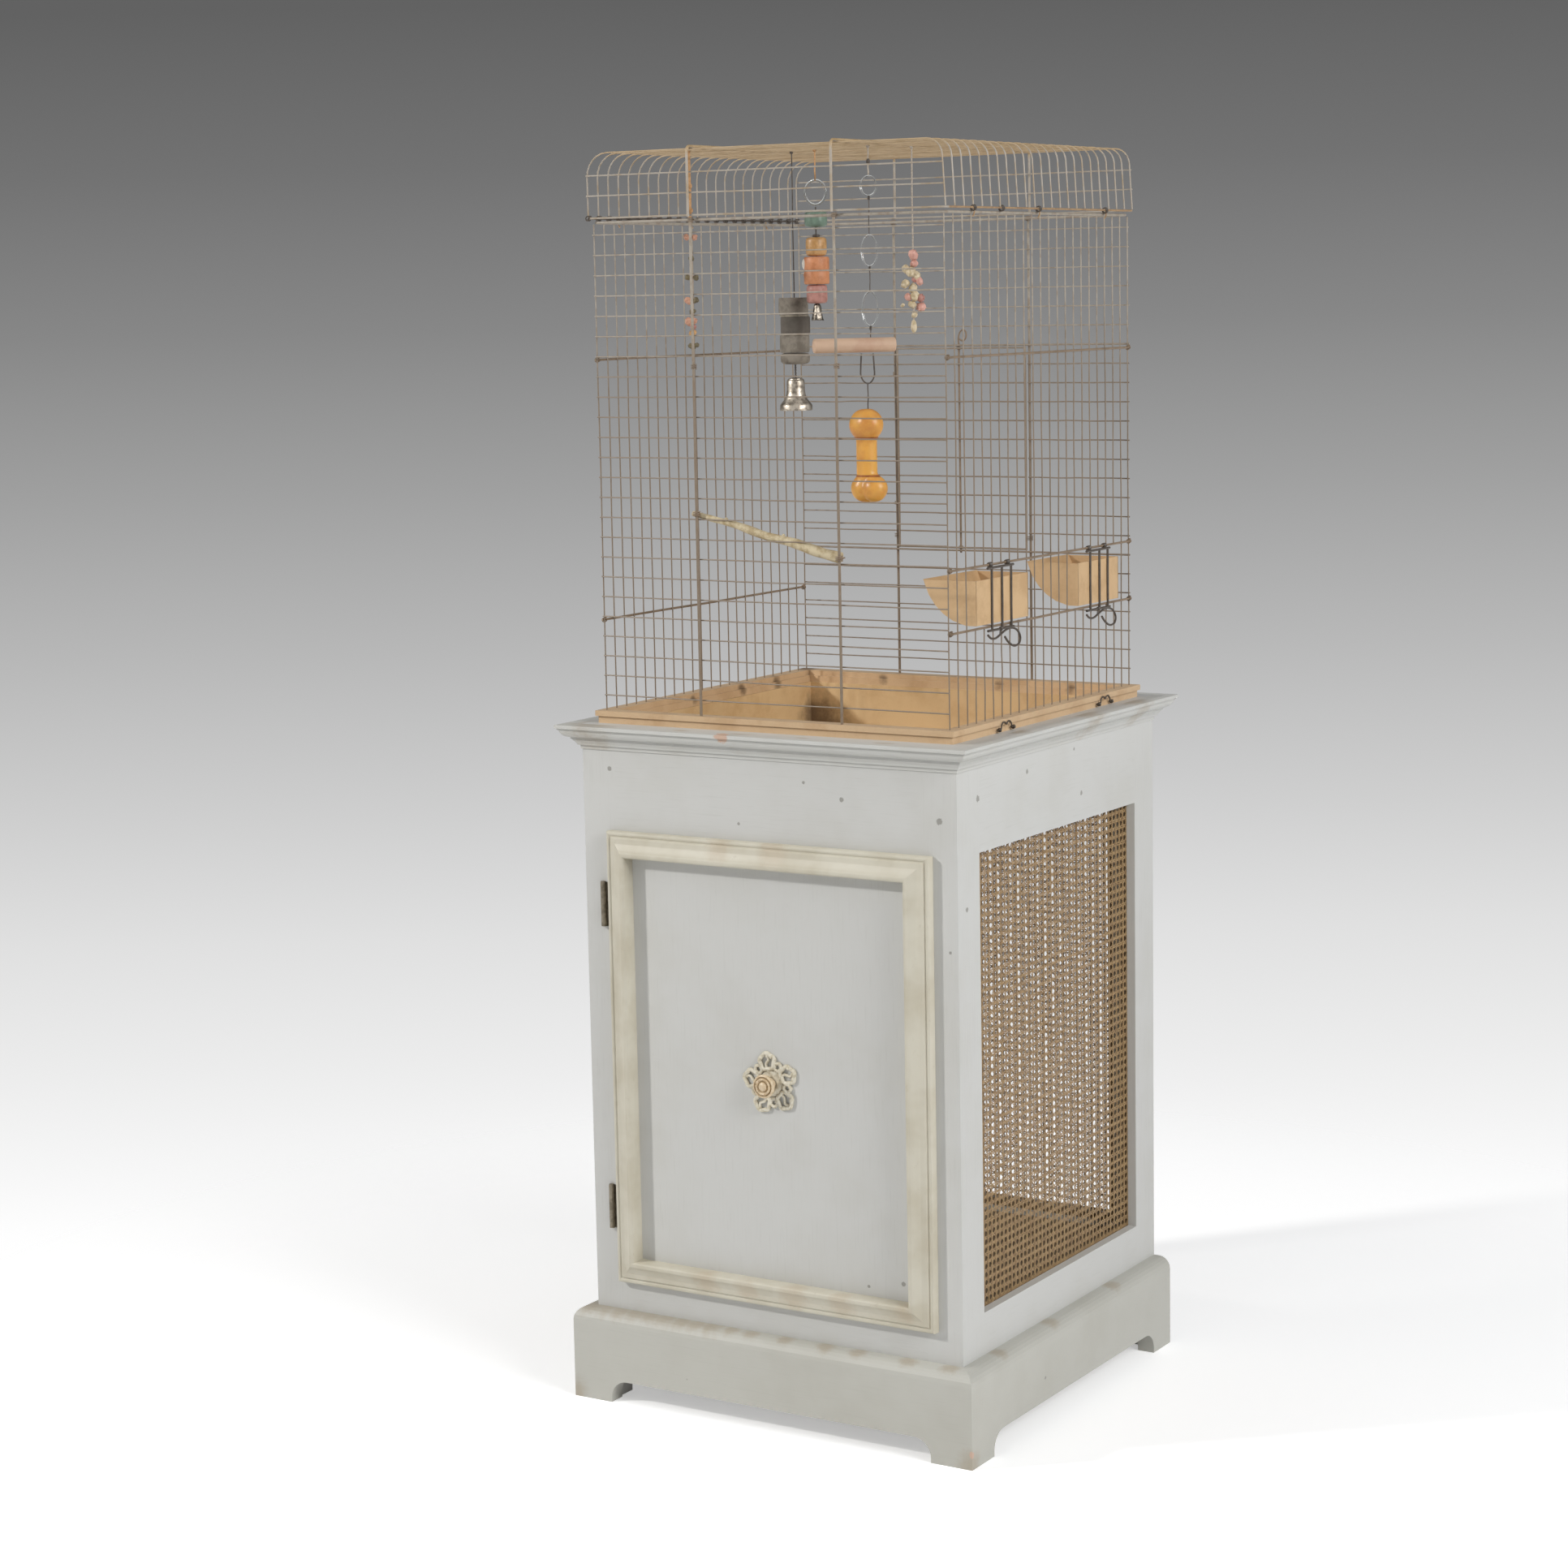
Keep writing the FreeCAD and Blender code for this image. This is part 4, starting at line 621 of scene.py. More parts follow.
for row in DARKER_ROWS:
    for face in mesh.faces[row * KNOB_SIDES:(row + 1) * KNOB_SIDES]:
        face.material_index = 1
for step in range(10):
    turn = 2 * math.pi * step / 10
    bead(mesh, seat + Vector((9.6 * math.cos(turn), -20.0, 9.6 * math.sin(turn))) * MM, 1.5, 8)
piece("ivory_knob", mesh, [ivory_glaze, groove_glaze], "cupboard_door", ["door_knob"], 50.0)

# %% [markdown]
# ## Pierced plate of the knob
# The plate is a cast ornament of scrolled loops, so each of its ten lobes is an open ring, joined to a
# collar round the shank. The five large lobes have a scroll across and two beads inside.

# %% Scroll the plate
mesh = bmesh.new()
turned(mesh, [(17.0, 0.1), (17.0, 1.2), (15.2, 2.6), (11.0, 3.0), (8.6, 2.0), (8.6, 0.4)],
       seat + Vector((0, 2 * MM, 0)), (0, -1, 0), 40)
for lobe in range(10):
    large = lobe % 2 == 0
    reach, length, width, thick = (28.5, 10.2, 10.6, 2.7) if large else (24.5, 5.0, 4.6, 2.2)
    turn = math.radians(100 - 36 * lobe)
    out = Vector((math.cos(turn), 0, math.sin(turn)))
    side = Vector((-math.sin(turn), 0, math.cos(turn)))
    centre = seat + out * (reach * MM)
    loop = []
    for step in range(28):
        angle = 2 * math.pi * step / 28
        ripple = (1 + 0.08 * math.cos(5 * angle)) * MM
        loop.append(centre + (out * (math.cos(angle) * length) + side * (math.sin(angle) * width)) * ripple)
    sweep(mesh, loop, thick * MM, 8, True)
    if large:
        scroll = [seat + out * (14 * MM), centre - out * (4 * MM) + side * (2.4 * MM),
                  centre + out * (2.5 * MM) - side * (2.8 * MM), centre + out * (8 * MM)]
        sweep(mesh, smooth(scroll, 4), 1.9 * MM, 8)
        for end in (-1, 1):
            inside = centre + out * (5.5 * MM) + side * (end * 7.8 * MM)
            bead(mesh, inside - Vector((0, 1.2 * MM, 0)), 2.6, 10)
piece("scrolled_plate", mesh, cast_plate, "cupboard_door", ["knob_backplate"], 50.0)

# %% [markdown]
# ## Cane panels
# Six-way cane has strands in pairs upright and across, and single strands on both slants that cross
# between the pairs, so an eight-sided hole is left in the middle of each square. The pitch of the
# real one measures about 10.5 mm. Every strand is a thin flat ribbon, and the four directions lie in
# four layers. A flat picture of cane with see-through parts would be lighter, but it has no depth.

# %% Strands of cane
CANE_PITCH = 10.5 * MM
PAIR_GAP = 0.98 * MM
DRIFT = 0.42 * MM
STRAND, SLANT_STRAND = 1.15, 1.1
UPRIGHT_LAYER, LEVEL_LAYER = (0.0, 0.22), (0.24, 0.44)
SLANT_LAYERS = {-1: (0.68, 0.88), 1: (0.46, 0.66)}


def drift():
    """A small shift of a strand's end."""
    return chance.uniform(-DRIFT, DRIFT)


def ribbon(mesh, start, end, width, depths, place):
    """A flat strand between two points of the panel; width and both depths are in millimetres."""
    run = (end - start).normalized()
    side = Vector((-run.y, run.x)) * (width * MM / 2)
    corners = [start - side, end - side, end + side, start + side]
    near, far = ([mesh.verts.new(place(corner, depth * MM)) for corner in corners] for depth in depths)
    mesh.faces.new(near)
    mesh.faces.new(far[::-1])
    for index in range(4):
        after = (index + 1) % 4
        mesh.faces.new((near[index], far[index], far[after], near[after]))


print("cane pitch", round(CANE_PITCH / MM, 1), "mm")

# %% [markdown]
# ## Weaving
# The pairs run upright and across at every pitch. A slant is cut where it would leave the panel, and
# both ends of it follow from the half width. All strands drift a little, as hand-pulled cane does.

# %% Weave the cane
def weave_pairs(mesh, half_width, low, high, place):
    """The upright and level pairs of a rectangle."""
    for column in range(int(2 * half_width / CANE_PITCH) + 2):
        for pair in (-1, 1):
            x = -half_width + column * CANE_PITCH + pair * PAIR_GAP
            if abs(x) < half_width:
                start, end = Vector((x + drift(), low)), Vector((x + drift(), high))
                ribbon(mesh, start, end, STRAND, UPRIGHT_LAYER, place)
    for row in range(int((high - low) / CANE_PITCH) + 2):
        for pair in (-1, 1):
            z = low + row * CANE_PITCH + pair * PAIR_GAP
            if low < z < high:
                start, end = Vector((-half_width, z + drift())), Vector((half_width, z + drift()))
                ribbon(mesh, start, end, STRAND, LEVEL_LAYER, place)


def weave_slants(mesh, half_width, low, high, place):
    """The single strands on both slants of a rectangle."""
    rise = high - low
    for slant, layer in SLANT_LAYERS.items():
        first = -half_width - (math.ceil(rise / CANE_PITCH) * CANE_PITCH if slant == 1 else 0)
        for index in range(int((2 * half_width + rise) / CANE_PITCH) + 2):
            x = first + (index + 0.5) * CANE_PITCH
            edges = sorted(((-half_width - x) * slant, (half_width - x) * slant))
            enter, leave = max(0.0, edges[0]), min(rise, edges[1])
            if leave - enter > 2 * MM:
                x += drift()
                start = Vector((x + slant * enter, low + enter))
                ribbon(mesh, start, Vector((x + slant * leave, low + leave)), SLANT_STRAND, layer, place)


mesh = bmesh.new()
cane_low, cane_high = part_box("cane_panels")
half = -cane_low.y
for place in (lambda flat, deep: Vector((cane_high.x - deep, flat.x, flat.y)),
              lambda flat, deep: Vector((cane_low.x + deep, flat.x, flat.y)),
              lambda flat, deep: Vector((flat.x, cane_high.y - deep, flat.y))):
    weave_pairs(mesh, half, cane_low.z, cane_high.z, place)
    weave_slants(mesh, half, cane_low.z, cane_high.z, place)
print(len(mesh.faces), "faces of cane")

# %% [markdown]
# ## Hems of the cane
# On the side panels a strip of binding cane closes the top and bottom edges of the net.

# %% Hems, and the finished cane
HEM_DEPTH = 1.6
TOP_HEM, FOOT_HEM = 5.2, 2.6
count = len(mesh.faces)
for x, lift in ((cane_high.x, -1), (cane_low.x, 1)):
    for z, width in ((cane_high.z - TOP_HEM / 2 * MM, TOP_HEM), (cane_low.z + FOOT_HEM / 2 * MM, FOOT_HEM)):
        ribbon(mesh, Vector((-half, z)), Vector((half, z)), width, (0.0, HEM_DEPTH),
               lambda flat, deep: Vector((x + lift * deep, flat.x, flat.y)))
mesh.faces.ensure_lookup_table()
for face in mesh.faces[count:]:
    face.material_index = 1
piece("cane_weave", mesh, [cane_skin, string_orange], "cabinet", ["cane_panels"])

# %% [markdown]
# ## Straight wires of the cage
# Every upright and level wire of the cage is drawn again round, with a slight wander along it.
# The thick rods and rails wander less than the thin wire.

# %% Cage wires
SHORT_WIRE = 30 * MM
BOX_IN_RADII = 1.87


def round_wires(mesh, node, swing=0.55, thinner=1.0):
    """Adds a round wire for each long solid of a node, and returns the limits of the short ones."""
    short = []
    for points in solids_of(node):
        low, high = limits(points)
        size = high - low
        along = max(range(3), key=lambda axis: size[axis])
        if size[along] < SHORT_WIRE:
            short.append((low, high))
            continue
        widths = [size[axis] for axis in range(3) if axis != along]
        radius = round(max(widths) / MM / BOX_IN_RADII * 4) / 4
        start = (low + high) / 2
        end = start.copy()
        start[along], end[along] = low[along], high[along]
        sweep(mesh, wavy(start, end, swing * MM / radius, 10), radius * thinner * MM, 8)
    return short


for name, finish, nodes, swing, thinner in (
        ("cage_wires", cage_wire, ["left_wires", "right_wires", "front_wires", "back_wires"], 0.55, 0.86),
        ("corner_rods", cage_wire, ["cage_rods"], 0.9, 0.8),
        ("side_rail_wires", rail_wire, ["side_rails"], 0.6, 1.0)):
    mesh = bmesh.new()
    for node in nodes:
        round_wires(mesh, node, swing, thinner)
    piece(name, mesh, finish, "cage", nodes)

# %% [markdown]
# ## Ring at the top and wire ties
# The side wires end at a rod bent into a rectangle. Thin binding wire ties the rails to the corner
# wires and rods: each tie is a short winding of three turns.

# %% Top ring and ties
RING_X, RING_Y, RING_BEND = 0.251, 0.2475, 8 * MM
BACK_TIE_Z, FRONT_TIE_Z = 1.100, 1.345
TIE_WIRE, TIE_SHIFT = 0.55, 1.2 * MM
ring_z = sum(corner.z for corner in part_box("cage_top_ring")) / 2
mesh = bmesh.new()
sweep(mesh, rounded_loop(RING_X - RING_BEND, RING_Y - RING_BEND, RING_BEND, ring_z), 1.85 * MM, 10, True)
piece("top_ring", mesh, cage_wire, "cage", ["cage_top_ring"])

mesh = bmesh.new()
for points in solids_of("side_rails"):
    low, high = limits(points)
    x, z = (low.x + high.x) / 2, (low.z + high.z) / 2
    for y in (low.y + 3 * MM, high.y - 3 * MM):
        wind(mesh, Vector((x - math.copysign(TIE_SHIFT, x), y, z)), (0, 1, 0.25), 2.7, 3, 6, TIE_WIRE)
for points in solids_of("cage_rods"):
    low, high = limits(points)
    x, y = (low.x + high.x) / 2, (low.y + high.y) / 2
    for z in (ring_z, BACK_TIE_Z if y > 0 else FRONT_TIE_Z):
        wind(mesh, Vector((x, y - math.copysign(TIE_SHIFT, y), z)), (0, 0, 1), 3.4, 3, 6, TIE_WIRE)
piece("binding_ties", mesh, rail_wire, "cage")

# %% [markdown]
# ## Door in the back of the cage and its bolt
# The door is a wire ladder between two posts. It turns on the left rod in two wound eyes, and a long
# bolt with a finger ring runs down its middle through two wound guides.

# %% Back door and bolt
LEFT_ROD_X, BOLT_X, ROD_Y = -0.103, -0.004, 0.25295
LINK = (Vector((-0.1003, 0.2526, 0)), Vector((-0.0985, 0.2512, 0)))
mesh = bmesh.new()
for low, high in round_wires(mesh, "back_door", 0.3):
    z = (low.z + high.z) / 2
    if low.x < (LEFT_ROD_X + BOLT_X) / 2:
        wind(mesh, Vector((LEFT_ROD_X, ROD_Y, z)), (0, 0, 1), 3.1, 4, 5, 0.7, 12)
        sweep(mesh, [place + Vector((0, 0, z)) for place in LINK], 0.8 * MM, 6)
    else:
        wind(mesh, Vector((BOLT_X, ROD_Y - 0.05 * MM, z)), (0, 0, 1), 2.4, 3.5, 3.4, 0.65, 12)
piece("wire_door", mesh, cage_wire, "cage_back_door", ["back_door"])

FINGER_RING = [(0, -20), (-0.6, -14), (0.8, -7), (4.2, -2), (8.2, -1.6), (11.2, -5), (11.2, -11), (8.4, -15),
               (4.4, -15.6), (1.4, -13.4)]
STOP_Z = 1.0862
low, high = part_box("back_door_bolt")
bolt = Vector((BOLT_X, (low.y + high.y) / 2, 0))
mesh = bmesh.new()
sweep(mesh, [bolt + Vector((0, 0, low.z)), bolt + Vector((0, 0, high.z - 19 * MM))], 1.5 * MM, 10)
curl = [bolt + Vector((x * MM, 0, high.z + z * MM)) for x, z in FINGER_RING]
sweep(mesh, smooth(curl, 4), 1.2 * MM, 8)
wind(mesh, bolt + Vector((0, 0, STOP_Z)), (0, 0, 1), 2.2, 2, 1.4, 0.6)
piece("long_bolt", mesh, rail_wire, "drop_bolt", ["back_door_bolt"])

# %% [markdown]
# ## Clip loops at the rim
# Two loops on each side swing up from staples in the rim to hold the cage down. They are bent from
# one wire each, with a dip in the middle, and the staples have gone dark with rust.

# %% Rim clips and staples
CLIPS = ("front_right", "rear_right", "front_left", "rear_left")
STAPLE_Z, CLIP_Z = 0.896, 0.906
CLIP_SHAPE = [(-22, -10), (-16, -10), (-13.5, -8), (-12.5, -4.5), (-8, -1.2), (-3, -2.2), (0, -4.6),
              (3, -2.2), (8, -1.2), (12.5, -4.5), (13.5, -8), (16, -10), (22, -10)]
mesh = bmesh.new()
for clip in CLIPS:
    low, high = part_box("rim_clip_" + clip)
    for y in (low.y + 20 * MM, high.y - 20 * MM):
        centre = Vector(((low.x + high.x) / 2, y, STAPLE_Z))
        inward = Vector((math.copysign(1, -low.x), 0, 0))
        wind(mesh, centre, (0, 1, 0), 2.1, 3, 3.2, 0.65)
        sweep(mesh, [centre + inward * (2.0 * MM), centre + inward * (4.2 * MM)], 0.9 * MM, 6)
piece("rim_staples", mesh, dark_wire, "cabinet", ["rim_eyes"])
for clip in CLIPS:
    low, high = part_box("rim_clip_" + clip)
    centre = Vector(((low.x + high.x) / 2, (low.y + high.y) / 2, CLIP_Z))
    mesh = bmesh.new()
    sweep(mesh, smooth([centre + Vector((0, y, z)) * MM for y, z in CLIP_SHAPE], 4), 0.95 * MM, 8)
    piece("rim_clip_" + clip + "_wire", mesh, dark_wire, "clip_" + clip, ["rim_clip_" + clip])

# %% [markdown]
# ## Feeder troughs
# A trough is folded from thin sheet with an end plate at each end. Its inner side drops steeply from
# the lip and rounds into a flat bottom, and that curve still clears the rail under it when the feeder
# swings out. The rolled rim is a wire in the edge.

# %% Feeder troughs
RAIL_X, RAIL_Z, SWING_REACH = 0.2536, 1.1, 73.0 * MM
LIP_REACH, LIP_HEIGHT, SHEET = 70.8 * MM, 55.3 * MM, 1.6 * MM
ARC_DEGREES = (-16.5, -29, -41, -53, -65, -80)


def slab(mesh, outline, start, end):
    """A closed outline of the x-z plane carried from one y to another."""
    skin(mesh, [[mesh.verts.new(place + Vector((0, y, 0))) for place in outline] for y in (start, end)])


def trough(mesh, low, high):
    """Sheet trough with end plates; its inner side is an arc about the rail, in seven flats."""
    outer = [Vector((RAIL_X - LIP_REACH, 0, low.z + LIP_HEIGHT))]
    for turn in (math.radians(degrees) for degrees in ARC_DEGREES):
        spoke = Vector((-math.cos(turn), 0, math.sin(turn)))
        outer.append(Vector((RAIL_X, 0, RAIL_Z)) + spoke * SWING_REACH)
    front_x = high.x - 0.2 * MM
    outer += [Vector((front_x, 0, low.z + 0.4 * MM)), Vector((front_x, 0, low.z + LIP_HEIGHT))]
    inner = []
    for before, place, after in zip(outer[:1] + outer, outer, outer[1:] + outer[-1:]):
        along = (after - before).normalized()
        inner.append(place + Vector((along.z, 0, -along.x)) * -SHEET)
    first, last = low.y + 1 * MM, high.y - 1 * MM
    slab(mesh, outer + inner[::-1], first, last)
    for y in (low.y + 0.2 * MM, high.y - 1.8 * MM):
        slab(mesh, outer, y, y + SHEET)
    sweep(mesh, [outer[0] + Vector((-0.2 * MM, y, 0)) for y in (first, last)], 1.0 * MM, 8)


for end in ("front", "rear"):
    mesh = bmesh.new()
    trough(mesh, *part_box("feeder_" + end))
    piece(end + "_trough", mesh, feeder_enamel, end + "_feeder", ["feeder_" + end], 25.0)

# %% [markdown]
# ## Feeder hangers and hooks
# Each feeder hangs by two wound eyes on a rail, and an S hook swings under its lower bar. The hook
# has a small curl at one end and a large one at the other.

# %% Hangers and S hooks
HOOK = [(-34, -5), (-26, -9.6), (-14, -10.6), (0, -6.6), (14, -2.6), (30, -1.8), (44, -6.6), (51, -15.5),
        (47, -23), (34, -24.6), (20, -19.0), (10, -11)]
HOOK_Z, HOOK_SHIFT = 1.0195, 33.75 * MM
for end in ("front", "rear"):
    mesh = bmesh.new()
    for low, high in round_wires(mesh, "feeder_hanger_" + end, 0.15, 1.6):
        eye = Vector((RAIL_X, (low.y + high.y) / 2, (low.z + high.z) / 2))
        wind(mesh, eye, (0, 1, 0), 2.4, 4, 7, 0.95, 12)
    piece(end + "_hanger_wire", mesh, dark_wire, end + "_feeder", ["feeder_hanger_" + end])
    low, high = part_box("s_hook_" + end)
    pivot = Vector(((low.x + high.x) / 2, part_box("feeder_hanger_" + end)[0].y + HOOK_SHIFT, HOOK_Z))
    mesh = bmesh.new()
    sweep(mesh, smooth([pivot + Vector((0, y, z)) * MM for y, z in HOOK], 5), 1.4 * MM, 8)
    wind(mesh, pivot, (0, 1, 0), 1.9, 3, 4.4, 0.7)
    sweep(mesh, [pivot + Vector((0, -2, -2)) * MM, pivot + Vector((0, -3, -8)) * MM], 0.9 * MM, 6)
    piece(end + "_s_hook", mesh, dark_wire, end + "_hook", ["s_hook_" + end])

# %% [markdown]
# ## Hood
# Twenty-three hoops stand on a band, with a round bend at each shoulder. At the left a dark wire is
# wound round the band between them, and level wires tie the hoops at the front and back. Two thick
# rods run over the roof.

# %% Bends, drift and lean
def bent(corners, radius, steps=6):
    """Straight runs joined by round bends."""
    path = [corners[0]]
    for before, place, after in zip(corners, corners[1:], corners[2:]):
        into = (place - before).normalized()
        out = (after - place).normalized()
        turn = into.angle(out)
        centre = place + (out - into).normalized() * (radius / math.cos(turn / 2))
        spoke = place - into * (radius * math.tan(turn / 2)) - centre
        for step in range(steps + 1):
            share = turn * step / steps
            path.append(centre + spoke * math.cos(share) + into * (radius * math.sin(share)))
    path.append(corners[-1])
    return path


def wander(path, swing):
    """Moves a path off its line by a slow random drift."""
    turns = [chance.uniform(0, 2 * math.pi) for wave in range(3)]
    for index, place in enumerate(path):
        share = index / (len(path) - 1)
        fade = math.sin(math.pi * share) ** 0.5
        yield place + Vector((0.3 * math.sin(6 * share + turns[0]), math.sin(5 * share + turns[1]),
                              -0.4 * abs(math.sin(4 * share + turns[2])))) * (swing * fade)


HOOD_SIDE, HOOD_LEAN, ROOF = 0.256, 5 * MM, 1.61105
band_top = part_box("hood_band")[1].z
band_z = band_top - 1.5 * MM


def right_side(z):
    """The hood leans in a little at the right."""
    return HOOD_SIDE - HOOD_LEAN * (z - band_top) / (ROOF - band_top)


print("the roof is", round((ROOF - band_top) / MM), "mm over the band")

# %% [markdown]
# ## Hoops and their windings
# A hoop has a large bend at the left shoulder and a smaller one at the right. At the left it is tied
# to the band by two turns of dark wire, and at the right only four ties hold the band.

# %% Hoops and windings
LEFT_BEND, RIGHT_BEND = 30 * MM, 21 * MM
BAND_HALF = 0.25
TIED_AT = (-0.1835, -0.1115, -0.0135, 0.172)
mesh = bmesh.new()
ties = bmesh.new()
for points in solids_of("hood_wires"):
    low, high = limits(points)
    y = (low.y + high.y) / 2
    ridge = Vector((0, y, ROOF))
    left_half = bent([Vector((-HOOD_SIDE, y, band_top)), Vector((-HOOD_SIDE, y, ROOF)), ridge], LEFT_BEND)
    right_half = bent([Vector((right_side(z), y, z)) for z in (band_top, ROOF)] + [ridge], RIGHT_BEND)
    level = [left_half[-2].lerp(right_half[-2], share / 6) for share in range(1, 6)]
    sweep(mesh, list(wander(left_half[:-1] + level + right_half[-2::-1], 0.9 * MM)), 0.95 * MM, 8)
    wind(ties, Vector((-HOOD_SIDE, y, band_z)), (0, 1, 0), 3.0, 2, 7.5, 0.8, 9)
wound_rod = [Vector((-HOOD_SIDE - 0.4 * MM, side * BAND_HALF, band_z)) for side in (-1, 1)]
sweep(ties, wavy(*wound_rod, 0.7 * MM, 30), 1.5 * MM, 6)
for y in TIED_AT:
    wind(ties, Vector((HOOD_SIDE, y, band_top - 2 * MM)), (0, 1, 0.2), 3.4, 2.5, 4.5, 0.8, 9)
piece("hoops", mesh, hood_wire, "hood", ["hood_wires"])
piece("hoop_windings", ties, dark_wire, "hood")

# %% [markdown]
# ## Band, hooks and rods
# The band is one wire with round corners, rustier at the sides than at the front and back. Three
# hooks on each side reach down from it over the ring of the cage.

# %% Band, hooks and roof rods
HOOKED_AT = (-0.1835, -0.0135, 0.172)
low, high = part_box("hood_band")
mesh = bmesh.new()
sweep(mesh, rounded_loop(high.x - 8 * MM, high.y - 8 * MM, 6.5 * MM, band_z), 1.3 * MM, 8, True)
for face in mesh.faces:
    face.material_index = int(abs(face.calc_center_median().y) > RING_Y)
for side in (-1, 1):
    for y in HOOKED_AT:
        hook = [Vector((side * (high.x - 1.6 * MM), y, band_z)),
                Vector((side * (high.x - 1.2 * MM), y, band_top - 8 * MM)),
                Vector((side * (high.x - 3.4 * MM), y, low.z + 1.6 * MM))]
        sweep(mesh, smooth(hook, 4), 1.0 * MM, 6)
piece("band_and_hooks", mesh, [band_wire, hood_wire], "hood", ["hood_band"])

ROD_INSET = 2.15 * MM
mesh = bmesh.new()
for points in solids_of("hood_end_wires"):
    low, high = limits(points)
    if high.x - low.x > high.y - low.y:
        start, end = (low + high) / 2, (low + high) / 2
        start.x, end.x = low.x, right_side(start.z) + 1 * MM
        sweep(mesh, wavy(start, end, 0.6 * MM, 12), 0.95 * MM, 8)
    else:
        x, top = (low.x + high.x) / 2, high.z - ROD_INSET
        front_y, back_y = low.y + ROD_INSET, high.y - ROD_INSET
        corners = [Vector((x, front_y, low.z)), Vector((x, front_y, top)),
                   Vector((x, back_y, top)), Vector((x, back_y, low.z))]
        sweep(mesh, bent(corners, 6 * MM, 5), 1.7 * MM, 10)
piece("roof_rods", mesh, hood_wire, "hood", ["hood_end_wires"])

# %% [markdown]
# ## Perch
# A peeled branch is jammed between the front rods. It is thin at the left, thick at the right, and
# has a few knots, which the radius shows as slow swellings.

# %% Perch and its ties
LEFT_END, RIGHT_END = (-0.2455, 1.1625), (-0.2425, 1.1119)
BOWS = ((0.0, 0.0), (0.15, 0.1), (0.3, 0.25), (0.5, -0.1), (0.68, 0.15), (0.85, -0.1), (1.0, 0.0))
parts = sorted(solids_of("perch"), key=lambda points: limits(points)[1].x - limits(points)[0].x)
low, high = limits(parts[-1])
start = Vector((low.x, *LEFT_END))
end = Vector((high.x - 5 * MM, *RIGHT_END))


def branch(share):
    """Radius along the branch."""
    knots = 0.10 * math.sin(19 * share) + 0.07 * math.sin(47 * share + 1)
    return (3.2 + 4.2 * share) * (1 + knots * 0.5) * MM


mesh = bmesh.new()
spine = [start.lerp(end, share) + Vector((0, 2, 6)) * (bow * MM) for share, bow in BOWS]
sweep(mesh, smooth(spine, 8), branch, 16)
for share, reach in ((0.22, 7.0), (0.61, 9.0)):
    centre = start.lerp(end, share) + Vector((0, 1, 2)) * MM
    twig = [centre, centre + Vector((2 * MM, 0, reach * 0.6 * MM))]
    sweep(mesh, twig, lambda along: (3.0 - 1.2 * along) * MM, 10)
piece("branch_perch", mesh, branch_wood, "cage", ["perch"], 60.0)
mesh = bmesh.new()
for points in parts[:-1]:
    low, high = limits(points)
    centre = Vector(((low.x + high.x) / 2, -ROD_Y, (low.z + high.z) / 2))
    wind(mesh, centre, (0, 0, 1), 4.2, 3, 6, 0.8)
    sweep(mesh, [centre + Vector((0, 4 * MM, 0)), centre + Vector((0, 13 * MM, 0))], 0.9 * MM, 6)
piece("perch_ties", mesh, rail_wire, "cage")

# %% [markdown]
# ## Toys
# Five toys hang from wires of the roof. Each rides on its own swinging body, and each is made of the
# parts that show: twine, clear rings and links, turned beads, bells, a pressed block with layers, a
# dowel, a lobed bone and a bunch of pointed charms.

# %% Lumps, rings and cords for the toys
def blob(mesh, centre, size, rough=0.0, segments=18, material=0, turn=(0, 0, 0)):
    """A rounded lump with three sizes in millimetres, turned and a little uneven."""
    sizes = Matrix.Diagonal((size[0] * MM, size[1] * MM, size[2] * MM, 1))
    placed = Matrix.Translation(centre) @ Euler(turn).to_matrix().to_4x4() @ sizes
    made = bmesh.ops.create_uvsphere(mesh, u_segments=segments, v_segments=segments // 2 + 2, radius=1,
                                     matrix=placed)
    for vert in made["verts"]:
        if rough:
            vert.co += (vert.co - centre) * chance.uniform(-rough, rough)
        for face in vert.link_faces:
            face.material_index = material


def mark(mesh, first, material):
    """Gives every face made since the count a material."""
    mesh.faces.ensure_lookup_table()
    for face in mesh.faces[first:]:
        face.material_index = material


def axis_of(node):
    """Where the middle of a node stands on the floor plan."""
    low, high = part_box(node)
    return (low.x + high.x) / 2, (low.y + high.y) / 2


EYE_FOOT = ROOF - 4.2 * MM
SIDEWAYS = Vector((0.85, 0.526, 0))


def hang(mesh, x, y, low, radius, swing=0.4):
    """The winding that a toy swings by, and its cord down to a height."""
    wind(mesh, Vector((x, y, ROOF)), (1, 0.15, 0), 2.9, 2.5, 2.6, 0.7)
    cord = wavy(Vector((x, y, low)), Vector((x, y, EYE_FOOT + 1.2 * MM)), swing * MM, 14)
    sweep(mesh, cord, radius * MM, 8)


print("toys hang from", round(EYE_FOOT, 4), "m")

# %% [markdown]
# ## Bead string at the left
# A thick faded twine hangs from the roof. Broken coral, olive and peach pieces stand out from it
# sideways at uneven distances, and no two are the same shape.

